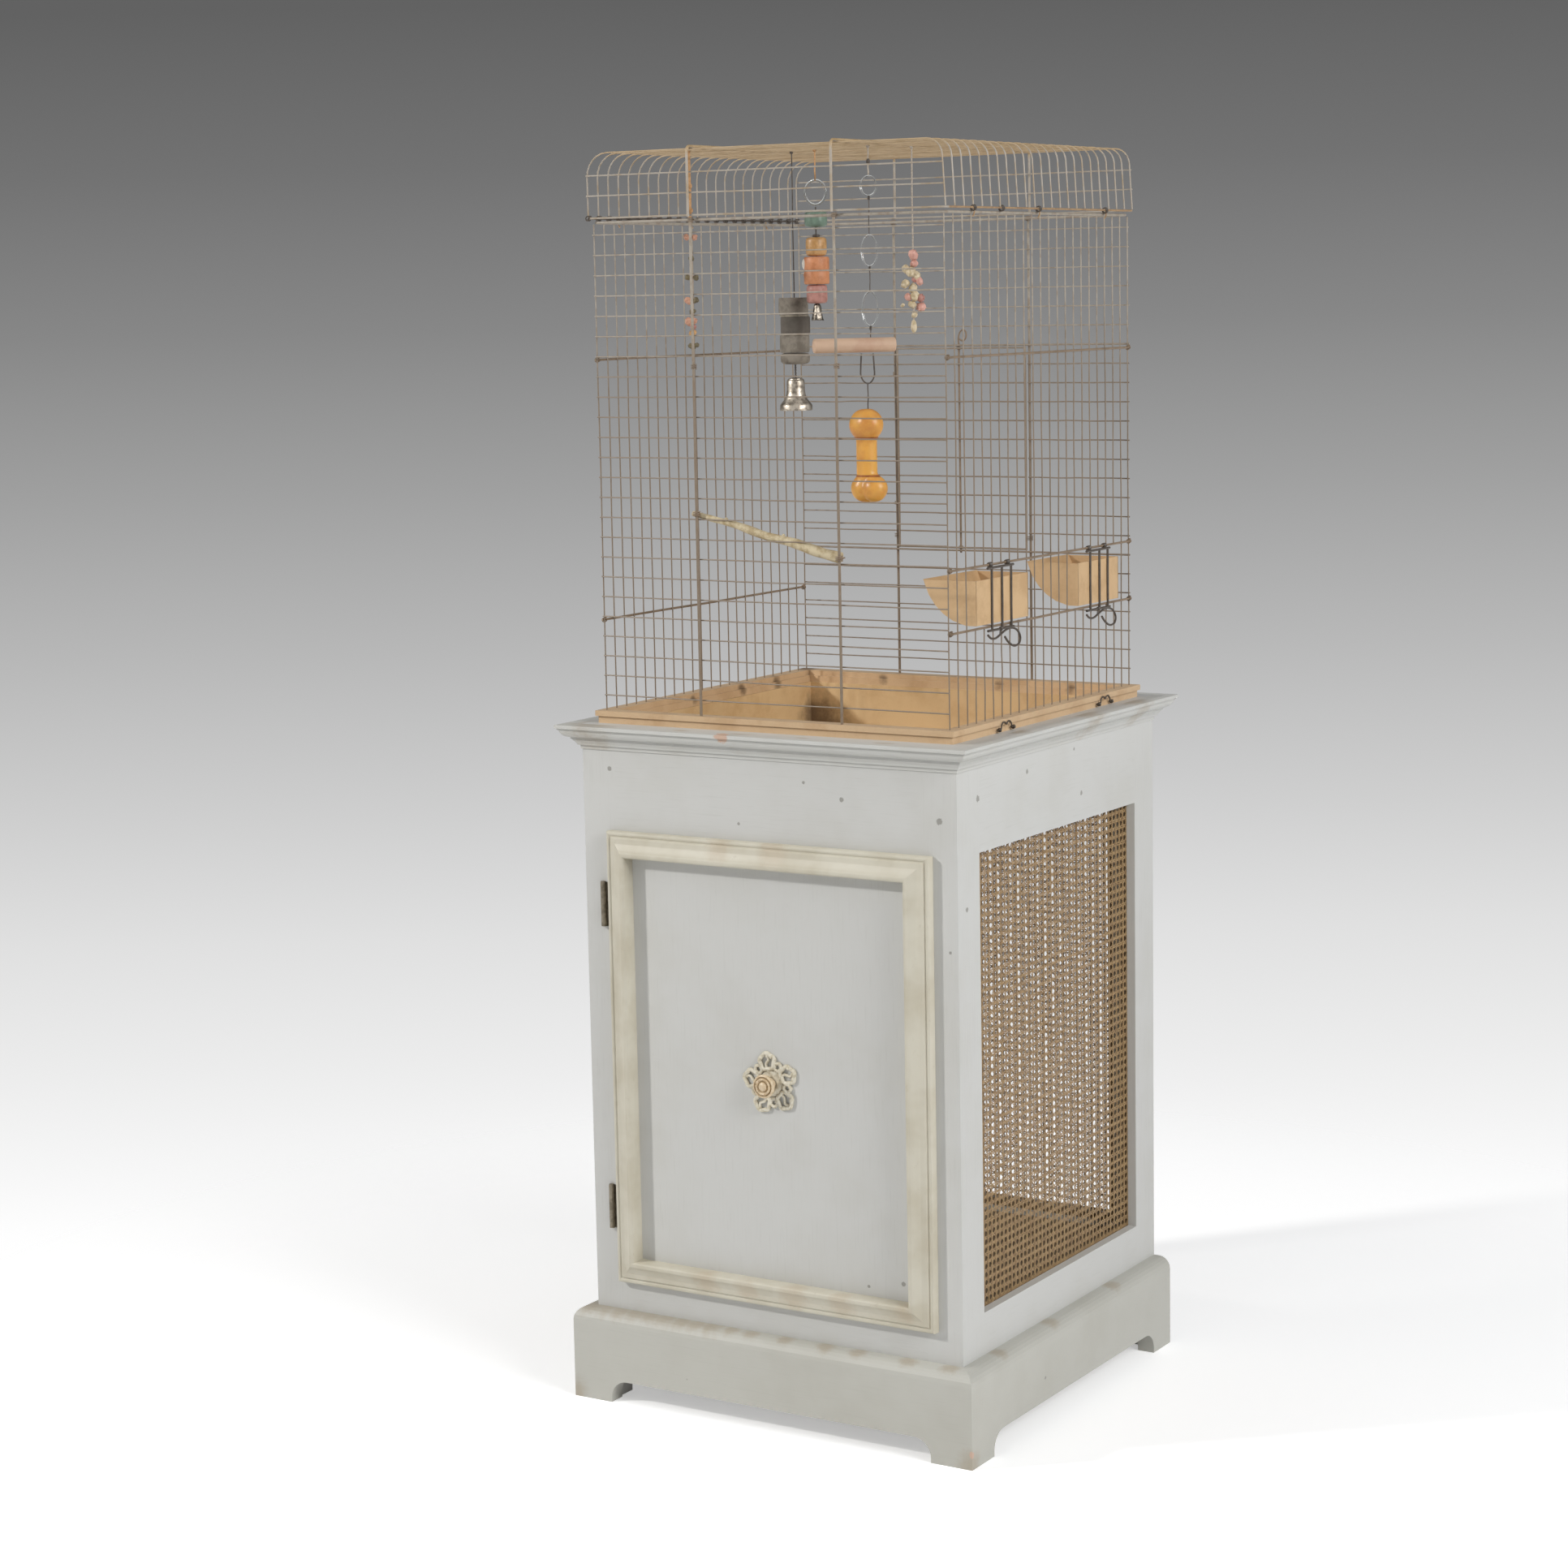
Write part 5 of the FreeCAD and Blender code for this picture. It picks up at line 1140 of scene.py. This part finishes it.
# %% Bead string
CHIPS = [(40, 0, 2.6, 0), (70, 0, 2.4, 0), (102, -5, 3.0, 2), (102, 5, 3.0, 2), (129, 0, 2.8, 4),
         (152, -4.5, 3.0, 4), (152, 5, 3.0, 4), (181, -5.5, 3.4, 2), (181, 4.5, 3.0, 4), (194, 0, 2.8, 4),
         (207, -4.5, 4.2, 2), (205, 2, 3.4, 2), (213, 1, 2.8, 5), (221, 0, 3.2, 3), (237, -4.5, 2.4, 4),
         (238, 0, 2.8, 4), (237, 4.5, 2.4, 4)]
x, y = axis_of("bead_string")
mesh = bmesh.new()
hang(mesh, x, y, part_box("bead_string")[0].z + 2 * MM, 1.7, 0.7)
for drop, side, size, tone in CHIPS:
    centre = Vector((x, y, EYE_FOOT - drop * MM)) + SIDEWAYS * (side * MM)
    for bit in range(3):
        away = Vector([chance.uniform(-1.2, 1.2) * MM for axis in range(3)])
        sizes = (size * 1.2, size * 0.9, size * 1.25)
        blob(mesh, centre + away, sizes, 0.14, 8, tone, (bit, 0.5 * bit, side))
piece("threaded_beads", mesh, [string_orange, orange_wood, coral_chip, tan_wood, olive_chip, pink_wood],
      "bead_string", ["bead_string"])

# %% [markdown]
# ## Tower toy in the middle
# From the top down: a clear ring, a sage plastic bead, a tan barrel, two orange discs, a dusty-pink
# bead and a crumpled little bell of thin metal. Two small beads, a white one and an orange one, are
# tied beside the orange discs.

# %% Tower toy
ring_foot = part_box("tower_ring")[0].z
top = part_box("tower_blocks")[1].z
x, y = axis_of("tower_blocks")
mesh = bmesh.new()
hang(mesh, x, y, ring_foot + 32 * MM, 1.0)
count = len(mesh.faces)
turns = [2 * math.pi * step / 36 - math.pi / 4 for step in range(36)]
ring = [Vector((x + 15.2 * MM * math.cos(turn), y, ring_foot + (17.2 - 15.2 * math.sin(turn)) * MM))
        for turn in turns]
sweep(mesh, ring, 1.7 * MM, 10, True)
mark(mesh, count, 1)
piece("clear_ring", mesh, [string_orange, clear_plastic], "tower_toy", ["tower_ring"])
BARREL = [(7, 0), (10.8, 0.5), (12.6, 2.2), (13.2, 5.0), (13.2, 18.4), (12.6, 21.4), (10.8, 23.2), (7, 23.6)]
DISC = [(14.0, 0), (15.4, 0.5), (16.1, 2), (16.1, 15), (15.4, 16.6), (14.0, 17.1)]
SAGE_BEAD = [(8, 0), (12.6, 0.8), (14.2, 3), (14.5, 8), (14.5, 12), (14.2, 17), (12.6, 19.2), (8, 20)]
CORD, KNOT = [(0.9, 0), (0.9, 120.4)], [(2.4, 0), (4.6, 0.6), (4.6, 3.0), (2.4, 3.7)]
mesh = bmesh.new()
for drop, tone, outline in ((25.4, 0, SAGE_BEAD), (120.6, 1, CORD), (37.7, 1, KNOT), (61.4, 2, BARREL),
                            (79.2, 3, DISC), (96.5, 3, DISC), (120.4, 4, BARREL)):
    count = len(mesh.faces)
    turned(mesh, outline, Vector((x, y, top - drop * MM)), (0, 0, 1), 36)
    mark(mesh, count, tone)
blob(mesh, Vector((x - 11.4 * MM, y - 8.6 * MM, top - 71 * MM)), (4.4, 4.4, 7.6), 0.02, 14, 5)
blob(mesh, Vector((x - 10.8 * MM, y - 8.0 * MM, top - 85 * MM)), (3.4, 3.4, 3.4), 0.03, 12, 3)
piece("tower_beads", mesh, [green_plastic, dark_wire, tan_wood, orange_wood, pink_wood, white_bead],
      "tower_toy", ["tower_blocks"], 50.0)

# %% [markdown]
# ## Bells
# A bell is a thin turned shell, open below. The little one on the tower is crumpled, which moving its
# points at random gives. The large one is bright, with a long crown and a clapper on a wire.

# %% Bells
def bell(mesh, node, outline, wall, sides):
    """A shell with its thickness, from the crown of a node down; returns the place of the crown."""
    inside = [(max(radius - wall, 0.4), distance - (wall if index < 3 else 0))
              for index, (radius, distance) in enumerate(outline)]
    crown = Vector((*axis_of(node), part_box(node)[1].z))
    turned(mesh, outline + inside[::-1], crown, (0, 0, -1), sides)
    return crown


mesh = bmesh.new()
crown = bell(mesh, "tower_bell", [(1.0, 0.1), (3.6, 0.6), (4.8, 4.0), (5.2, 8.5), (5.9, 13.0), (6.8, 17.5),
                                  (7.6, 21.0)], 0.8, 14)
for vert in mesh.verts:
    if vert.co.z < crown.z - 3 * MM:
        crumple = Vector((chance.uniform(-1, 1), chance.uniform(-1, 1), chance.uniform(-0.1, 1.6)))
        vert.co += crumple * (0.7 * MM)
piece("crumpled_bell", mesh, nickel_painted_dark_reflections, "tower_toy", ["tower_bell"], 20.0)
mesh = bmesh.new()
crown = bell(mesh, "mineral_bell", [(1.5, 0.1), (7.5, 0.6), (10.4, 1.6), (11.4, 4.0), (11.5, 11.0),
                                    (11.7, 17.0), (12.8, 22.0), (15.0, 27.0), (18.2, 31.0), (20.4, 33.6),
                                    (20.9, 35.4), (20.9, 40.9)], 1.0, 48)
sweep(mesh, [crown - Vector((0, 0, 2 * MM)), crown - Vector((0, 0, 33 * MM))], 0.7 * MM, 6)
blob(mesh, crown - Vector((0, 0, 34 * MM)), (3.6, 3.6, 3.6))
piece("bright_bell", mesh, nickel, "mineral_toy", ["mineral_bell"], 50.0)

# %% [markdown]
# ## Mineral block
# The block is pressed from grey mineral in three layers with a thin pale line between. Each layer has
# nine flats and has slipped sideways a little, and the middle one is darker. A round foot of the same
# grey closes it below, and two cords twisted together run on to the bell.

# %% Mineral block
LAYER_HEIGHT, FOOT_DROP = 23.67, 85
LAYERS = ((-1.0, 1), (1.1, 3), (-0.2, 1))
x, y = crown.x, crown.y
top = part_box("mineral_block")[1].z - 187.1 * MM
mesh = bmesh.new()
hang(mesh, x, y, top - 1 * MM, 0.8)
for number, (slip, tone) in enumerate(LAYERS, 1):
    count = len(mesh.faces)
    base = Vector((x, y, top - LAYER_HEIGHT * number * MM))
    turned(mesh, [(18.0, 0.7), (19.0, 1.6), (19.3, 4), (19.3, 20), (19.0, 22), (18.0, 23.0)],
           base + SIDEWAYS * (slip * MM), (0, 0, 1), 9)
    mark(mesh, count, tone)
    if number < len(LAYERS):
        count = len(mesh.faces)
        turned(mesh, [(17.6, -1.2), (18.4, -0.9), (18.4, 0.9), (17.6, 1.2)], base, (0, 0, 1), 40)
        mark(mesh, count, 2)
count = len(mesh.faces)
turned(mesh, [(12, 0), (16, 0.8), (18.4, 3), (19, 7), (18.6, 11), (17.2, 13.2), (14, 14)],
       Vector((x, y, top - FOOT_DROP * MM)), (0, 0, 1), 40)
mark(mesh, count, 1)
count = len(mesh.faces)
for twist in (0, math.pi):
    cord = [Vector((x + 0.8 * MM * math.cos(step * 0.8 + twist), y + 0.8 * MM * math.sin(step * 0.8 + twist),
                    top - (FOOT_DROP + step * 0.9) * MM)) for step in range(21)]
    sweep(mesh, cord, 0.6 * MM, 6)
mark(mesh, count, 0)
piece("layered_block", mesh, [dark_wire, mineral, mineral_line, mineral_dark], "mineral_toy",
      ["mineral_block"], 50.0)

# %% [markdown]
# ## Chain and dowel
# Three clear ovals are linked by thin wire, and a dowel crosses under them.

# %% Chain and dowel
LINKS = ((31.8, 26), (46, 40), (29, 44), (13, 0))
x, y = axis_of("chain_rings")
mesh = bmesh.new()
hang(mesh, x, y, EYE_FOOT - LINKS[0][0] * MM, 1.0)
mark(mesh, 0, 2)
blob(mesh, Vector((x, y, EYE_FOOT - 15 * MM)), (2.6, 2.6, 3.4), 0.1, 8, 0)
z = EYE_FOOT
for number, (drop, height) in enumerate(LINKS):
    if number:
        sweep(mesh, wavy(Vector((x, y, z - drop * MM)), Vector((x, y, z + 1 * MM)), 0.5 * MM, 6), 0.7 * MM, 6)
        wind(mesh, Vector((x, y, z - 2 * MM)), (0, 0, 1), 1.3, 3, 4, 0.5, 8, 5)
    z -= drop * MM
    if height:
        count = len(mesh.faces)
        turns = [math.pi * step / 16 for step in range(32)]
        rise = (height / 2 - 1) * MM
        link = [Vector((x + 11.0 * MM * math.cos(turn), y, z - height / 2 * MM + rise * math.sin(turn)))
                for turn in turns]
        sweep(mesh, link, 1.0 * MM, 8, True)
        mark(mesh, count, 1)
        z -= height * MM
piece("clear_links", mesh, [dark_wire, clear_plastic, pale_twine], "chain_toy",
      ["chain_rings"])
way = Vector((1, 1, 0)).normalized()
low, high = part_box("swing_dowel")
mesh = bmesh.new()
turned(mesh, [(7.6, 0), (8.6, 0.5), (9, 1.6), (9, 52), (9, 102.4), (8.6, 103.5), (7.6, 104)],
       (low + high) / 2 - way * (52 * MM), way, 32)
piece("softwood_dowel", mesh, bare_wood, "chain_toy", ["swing_dowel"], 50.0)

# %% [markdown]
# ## Skin of the bone
# The glossy amber bone has two round lobes at each end. Lobes and waist are one skin round an
# upright axis. Its distance from the axis is that of the outermost of two large balls at each end and
# a waist between, and smoothing softens the valleys. Separate joined balls would leave hard creases.

# %% Lobes and waist as one skin
LOBES = ((18.0, 17.4, Vector((-8.0, 1.5))), (18.0, 17.0, Vector((8.5, -1.5))),
         (96.5, 20.0, Vector((-6.0, 1.0))), (97.0, 19.8, Vector((0.0, -1.0))))
WAIST = (13.4, Vector((-3.0, 0)), 10, 106)
BONE_HIGH, BONE_ROWS, BONE_SIDES, BONE_DEPTH_SHARE = 116.0, 60, 48, 0.88


def bone_radius(angle, height):
    """Distance of the skin from the axis at an angle and height in millimetres."""
    run = Vector((math.cos(angle), math.sin(angle)))
    waist, waist_middle, waist_low, waist_high = WAIST
    forms = [(height - level, size, middle) for level, size, middle in LOBES]
    forms.append((0 if waist_low < height < waist_high else waist, waist, waist_middle))
    best = 0.3
    for rise, size, middle in forms:
        along = run.dot(middle)
        inner = size * size - rise * rise - (middle.length_squared - along ** 2)
        if abs(rise) < size and inner > 0:
            best = max(best, along + math.sqrt(inner))
    return best


low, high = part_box("bone_toy")
x, y = axis_of("bone_toy")
mesh = bmesh.new()
rings = []
for step in range(BONE_ROWS + 1):
    height = 0.6 + BONE_HIGH * (0.5 - 0.5 * math.cos(math.pi * step / BONE_ROWS))
    ring = []
    for angle in (2 * math.pi * turn / BONE_SIDES for turn in range(BONE_SIDES)):
        reach = bone_radius(angle, height) * MM
        out = Vector((math.cos(angle), BONE_DEPTH_SHARE * math.sin(angle), 0)) * reach
        ring.append(mesh.verts.new(Vector((x, y, low.z + height * MM)) + out))
    rings.append(ring)
skin(mesh, rings)
for repeat in range(3):
    bmesh.ops.smooth_vert(mesh, verts=mesh.verts, factor=0.35, use_axis_x=True, use_axis_y=True,
                          use_axis_z=True)
print("bone skin of", len(mesh.faces), "faces")

# %% [markdown]
# ## Creases and hook of the bone
# Two rings of painted shade run round the bone where the lobes meet the waist. It hangs from the
# dowel by a wide wire hook and a cord.

# %% Creases, hook and the finished bone
# Heights of the rings of painted shade, in millimetres above the foot of the bone.
SHADED_CREASES = ((32, 35), (78, 82))
HOOK_HALF, HOOK_DROP, HOOK_BEND = 10 * MM, 24 * MM, 14 * MM
for face in mesh.faces:
    height = (face.calc_center_median().z - low.z) / MM
    if any(foot < height < top for foot, top in SHADED_CREASES):
        face.material_index = 2
count = len(mesh.faces)
turns = [-math.pi * step / 12 for step in range(13)]
hook = [Vector((x + HOOK_HALF * math.cos(turn), y, high.z - HOOK_DROP + HOOK_BEND * math.sin(turn)))
        for turn in turns]
ends = [Vector((x + side * 8.5 * MM, y, high.z - 1.2 * MM)) for side in (1, -1)]
sweep(mesh, smooth([ends[0]] + hook + [ends[1]], 2), 1.0 * MM, 8)
cord = wavy(Vector((x, y, high.z - 76 * MM)), Vector((x, y, high.z - 39 * MM)), 0.5 * MM, 6)
sweep(mesh, cord, 0.8 * MM, 6)
mark(mesh, count, 1)
piece("amber_bone", mesh, [bone_plastic, dark_wire, bone_crease_shade], "chain_toy",
      ["bone_toy"], 70.0)

# %% [markdown]
# ## Shell cluster at the right
# Pointed pink and cream charms are knotted close together on a cord, with a small drop below. Each
# charm is a five-armed star, some seen flat and some on edge.

# %% Shell cluster
CLUSTER_X, CLUSTER_Y = 0.108, -0.0687
CHARMS = [(0, 1.477, 8, 1), (2, 1.466, 6, 1), (-11, 1.460, 7, 2), (-3, 1.456, 8, 2), (4, 1.452, 7, 2),
          (3, 1.4475, 5, 3), (-11, 1.441, 7, 2), (9, 1.445, 6, 1), (0, 1.436, 7, 2), (1, 1.427, 8, 2),
          (10, 1.423, 7, 3), (11, 1.413, 8, 1), (-3, 1.415, 6, 2), (-16, 1.415, 3, 2), (-8, 1.426, 6, 1),
          (1, 1.404, 5, 2)]


def star(mesh, centre, reach, turn, material):
    """A thick five-armed star with a raised middle."""
    spin = Euler(turn).to_matrix()
    rim = []
    for step in range(10):
        angle = math.pi * step / 5
        size = reach if step % 2 == 0 else reach * 0.52
        out = Vector((math.cos(angle), math.sin(angle), 0)) * size
        rim.append(mesh.verts.new(centre + spin @ out))
    caps = [mesh.verts.new(centre + spin @ Vector((0, 0, side * reach * 0.42))) for side in (1, -1)]
    for step in range(10):
        after = (step + 1) % 10
        for cap, pair in ((caps[0], (rim[step], rim[after])), (caps[1], (rim[after], rim[step]))):
            mesh.faces.new((*pair, cap)).material_index = material


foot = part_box("shell_cluster")[0].z
mesh = bmesh.new()
hang(mesh, CLUSTER_X, CLUSTER_Y, foot + 14 * MM, 1.0)
for number, (side, z, reach, tone) in enumerate(CHARMS):
    for bit in range(2):
        away = Vector([chance.uniform(-1.5, 1.5) * MM for axis in range(3)])
        centre = Vector((CLUSTER_X, CLUSTER_Y, z)) + SIDEWAYS * (side * 0.85 * MM) + away
        turn = (chance.uniform(0, 3), chance.uniform(0, 3), number + bit)
        star(mesh, centre, reach * 0.95 * MM, turn, tone)
        blob(mesh, centre, (reach * 0.72, reach * 0.72, reach * 0.72), 0.08, 10, tone)
blob(mesh, Vector((CLUSTER_X, CLUSTER_Y, foot + 9 * MM)), (3.8, 3.8, 8.4), 0.06, 12, 2)
piece("shell_charms", mesh, [pale_twine, shell_pink, shell_cream, pink_wood], "cluster_toy",
      ["shell_cluster"], 30.0)

# %% [markdown]
# ## Camera
# The camera was solved on the edges of the cabinet and the cage, in the object's own frame. It stands
# to the right of the front, looks a little down and leans by about a degree.

# %% Camera
EYE = Vector((2.1662, -3.7239, 1.4368))
AROUND, DOWN, TILT = math.radians(31.76), math.radians(8.47), math.radians(-1.12)
PICTURE, FOCAL = 1932, 4084.9
back = Vector((math.sin(AROUND) * math.cos(DOWN), -math.cos(AROUND) * math.cos(DOWN), math.sin(DOWN)))
right = (-back).cross(Vector((0, 0, 1))).normalized()
up = right.cross(-back)
leaning_right = right * math.cos(TILT) + up * math.sin(TILT)
leaning_up = up * math.cos(TILT) - right * math.sin(TILT)
lens = bpy.data.cameras.new("photo_camera")
lens.sensor_width = 36.0
lens.lens = FOCAL / PICTURE * lens.sensor_width
lens.clip_start, lens.clip_end = 0.1, 60.0
viewer = bpy.data.objects.new("photo_camera", lens)
bpy.context.scene.collection.objects.link(viewer)
axes = Matrix((leaning_right, leaning_up, back)).transposed()
viewer.matrix_world = Matrix.Translation(EYE) @ axes.to_4x4()
bpy.context.scene.camera = viewer
print("lens", round(lens.lens, 1), "mm")

# %% [markdown]
# ## Surroundings
# Floor, backdrop and room are flat faces and plain colours. They show to the camera, in metal and
# through clear plastic, and are told from the light by the kind of ray that meets them.

# %% Surroundings and the rays that see them
def plain_mesh(name, corners, material):
    """A flat face with a finish, for the surroundings."""
    data = bpy.data.meshes.new(name)
    data.from_pydata(corners, [], [tuple(range(len(corners)))])
    thing = bpy.data.objects.new(name, data)
    data.materials.append(material)
    bpy.context.scene.collection.objects.link(thing)
    return thing


def sight_share(tree):
    """1 for rays of the camera, of reflections in metal and through clear plastic, and 0 for the light."""
    sight = add(tree, "ShaderNodeLightPath").outputs
    mirrored = times(tree, sight["Is Glossy Ray"], sight["Is Transmission Ray"], "MAXIMUM")
    return times(tree, sight["Is Camera Ray"], mirrored, "MAXIMUM")


print("surroundings ready")

# %% [markdown]
# ## Backdrop
# The backdrop is white low down and grey at the top. It glows to the rays that see it and lets the
# light through, so it doesn't light the cage from one side. Its back is see-through, so the cage can
# be looked at from behind too.

# %% Backdrop
WALL_AWAY, WALL_HALF, WALL_FOOT, WALL_HEAD = 7.4, 9, -1.8, 6.0
TONES = ((0, "#626262"), (200, "#727272"), (400, "#878787"), (600, "#a0a0a0"), (800, "#b8b8b8"),
         (1000, "#cfcfcf"), (1150, "#e0e0e0"), (1300, "#ececec"), (1500, "#fdfdfd"))


def wall_height(row):
    """The height on the backdrop that a row of the picture looks at."""
    return EYE.z + WALL_AWAY * math.tan(-DOWN - math.atan((row - PICTURE / 2) / FOCAL))


backdrop_paint = bpy.data.materials.new("grey_to_white_backdrop")
backdrop_paint.use_nodes = True
tree = backdrop_paint.node_tree
tree.nodes.clear()
place = add(tree, "ShaderNodeTexCoord")
height = add(tree, "ShaderNodeSeparateXYZ", {"Vector": place.outputs["Object"]}).outputs["Z"]
bottom, top = wall_height(PICTURE), wall_height(0)
share = add(tree, "ShaderNodeMapRange", {"Value": height, "From Min": bottom, "From Max": top})
ramp = add(tree, "ShaderNodeValToRGB", {"Fac": share.outputs["Result"]})
for number, (row, shade) in enumerate(reversed(TONES)):
    spot = (wall_height(row) - bottom) / (top - bottom)
    stop = ramp.color_ramp.elements.new(min(spot, 0.999)) if number else ramp.color_ramp.elements[0]
    stop.position = spot
    stop.color = linear(shade)
ramp.color_ramp.elements.remove(ramp.color_ramp.elements[-1])
glow = add(tree, "ShaderNodeEmission", {"Color": ramp.outputs["Color"], "Strength": 1.0})
clear = add(tree, "ShaderNodeBsdfTransparent")
behind = add(tree, "ShaderNodeNewGeometry").outputs["Backfacing"]
front = times(tree, sight_share(tree), times(tree, 1.0, behind, "SUBTRACT"))
mix = add(tree, "ShaderNodeMixShader", {"Fac": front, 1: clear.outputs["BSDF"], 2: glow.outputs["Emission"]})
add(tree, "ShaderNodeOutputMaterial", {"Surface": mix.outputs["Shader"]})
flat_back = Vector((back.x, back.y, 0)).normalized()
wall_middle = Vector((EYE.x, EYE.y, 0)) - flat_back * WALL_AWAY
corners = ((-1, WALL_FOOT), (1, WALL_FOOT), (1, WALL_HEAD), (-1, WALL_HEAD))
wall = plain_mesh("backdrop", [wall_middle + right * (side * WALL_HALF) + Vector((0, 0, z))
                               for side, z in corners], backdrop_paint)
print("backdrop from", round(bottom, 2), "to", round(top, 2), "m")

# %% [markdown]
# ## Floor
# The object stands on a white floor that takes its shadow. The floor glows a little to the camera and
# fades out round the object, where the white foot of the backdrop goes on.

# %% Floor
FLOOR_HALF = 9
floor_paint, tree, shader = new_finish("white_floor", 0.6)
shader.inputs["Base Color"].default_value = linear("#f4f4f4")
place = add(tree, "ShaderNodeTexCoord")
flat = add(tree, "ShaderNodeVectorMath", {0: place.outputs["Object"], 1: (1.0, 1.0, 0.0)},
           operation="MULTIPLY")
reach = add(tree, "ShaderNodeVectorMath", {0: flat.outputs["Vector"]}, operation="LENGTH").outputs["Value"]
glow = add(tree, "ShaderNodeEmission", {"Color": (1.0, 1.0, 1.0, 1.0), "Strength": 0.40})
lit = add(tree, "ShaderNodeAddShader", {0: shader.outputs["BSDF"], 1: glow.outputs["Emission"]})
clear = add(tree, "ShaderNodeBsdfTransparent")
faded = add(tree, "ShaderNodeMixShader", {"Fac": above(tree, reach, 0.85, 1.75), 1: lit.outputs["Shader"],
                                          2: clear.outputs["BSDF"]})
seen = add(tree, "ShaderNodeMixShader", {"Fac": sight_share(tree), 1: shader.outputs["BSDF"],
                                         2: faded.outputs["Shader"]})
tree.links.new(seen.outputs["Shader"], tree.nodes["Material Output"].inputs["Surface"])
corners = ((-1, -1), (1, -1), (1, 1), (-1, 1))
floor = plain_mesh("floor", [Vector((x * FLOOR_HALF, y * FLOOR_HALF, 0)) for x, y in corners], floor_paint)
print("floor of", 2 * FLOOR_HALF, "m")

# %% [markdown]
# ## Light
# A small lamp at the upper left draws the shadow beside the moulding and the one on the floor, and a
# large soft lamp fills in from the right. The room gives an even light, paler above than below. The
# camera, metal and clear plastic see a plain grey room instead.

# %% Lights and world
def lamp(name, place, size, power, colour):
    """A round lamp that looks at the middle of the object."""
    light = bpy.data.lights.new(name, "AREA")
    light.shape = "DISK"
    light.size = size
    light.energy = power
    light.color = linear(colour)[:3]
    thing = bpy.data.objects.new(name, light)
    thing.location = place
    thing.rotation_euler = (LIT_PLACE - Vector(place)).to_track_quat("-Z", "Y").to_euler()
    bpy.context.scene.collection.objects.link(thing)


LIT_PLACE = Vector((0, 0, 0.8))
lamp("window_left", (-3.0, -3.1, 3.0), 0.36, 118, "#fffdfa")
lamp("fill_right", (4.2, -1.2, 2.9), 2.6, 145, "#ffffff")
world = bpy.context.scene.world or bpy.data.worlds.new("room")
bpy.context.scene.world = world
world.use_nodes = True
tree = world.node_tree
place = add(tree, "ShaderNodeTexCoord")
height = add(tree, "ShaderNodeSeparateXYZ", {"Vector": place.outputs["Generated"]}).outputs["Z"]
tone = over(tree, above(tree, height, -0.15, 0.75), linear("#8c8a86"), linear("#e5e7ea"))
tree.links.new(tone, tree.nodes["Background"].inputs["Color"])
tree.nodes["Background"].inputs["Strength"].default_value = 0.40
plain = add(tree, "ShaderNodeBackground", {"Color": linear("#cfcfcf"), "Strength": 1.0})
even = tree.nodes["Background"]
room = add(tree, "ShaderNodeMixShader", {"Fac": sight_share(tree), 1: even.outputs["Background"],
                                         2: plain.outputs["Background"]})
tree.links.new(room.outputs["Shader"], tree.nodes["World Output"].inputs["Surface"])
bpy.context.scene.view_settings.view_transform = "Standard"
print("two lamps and the room")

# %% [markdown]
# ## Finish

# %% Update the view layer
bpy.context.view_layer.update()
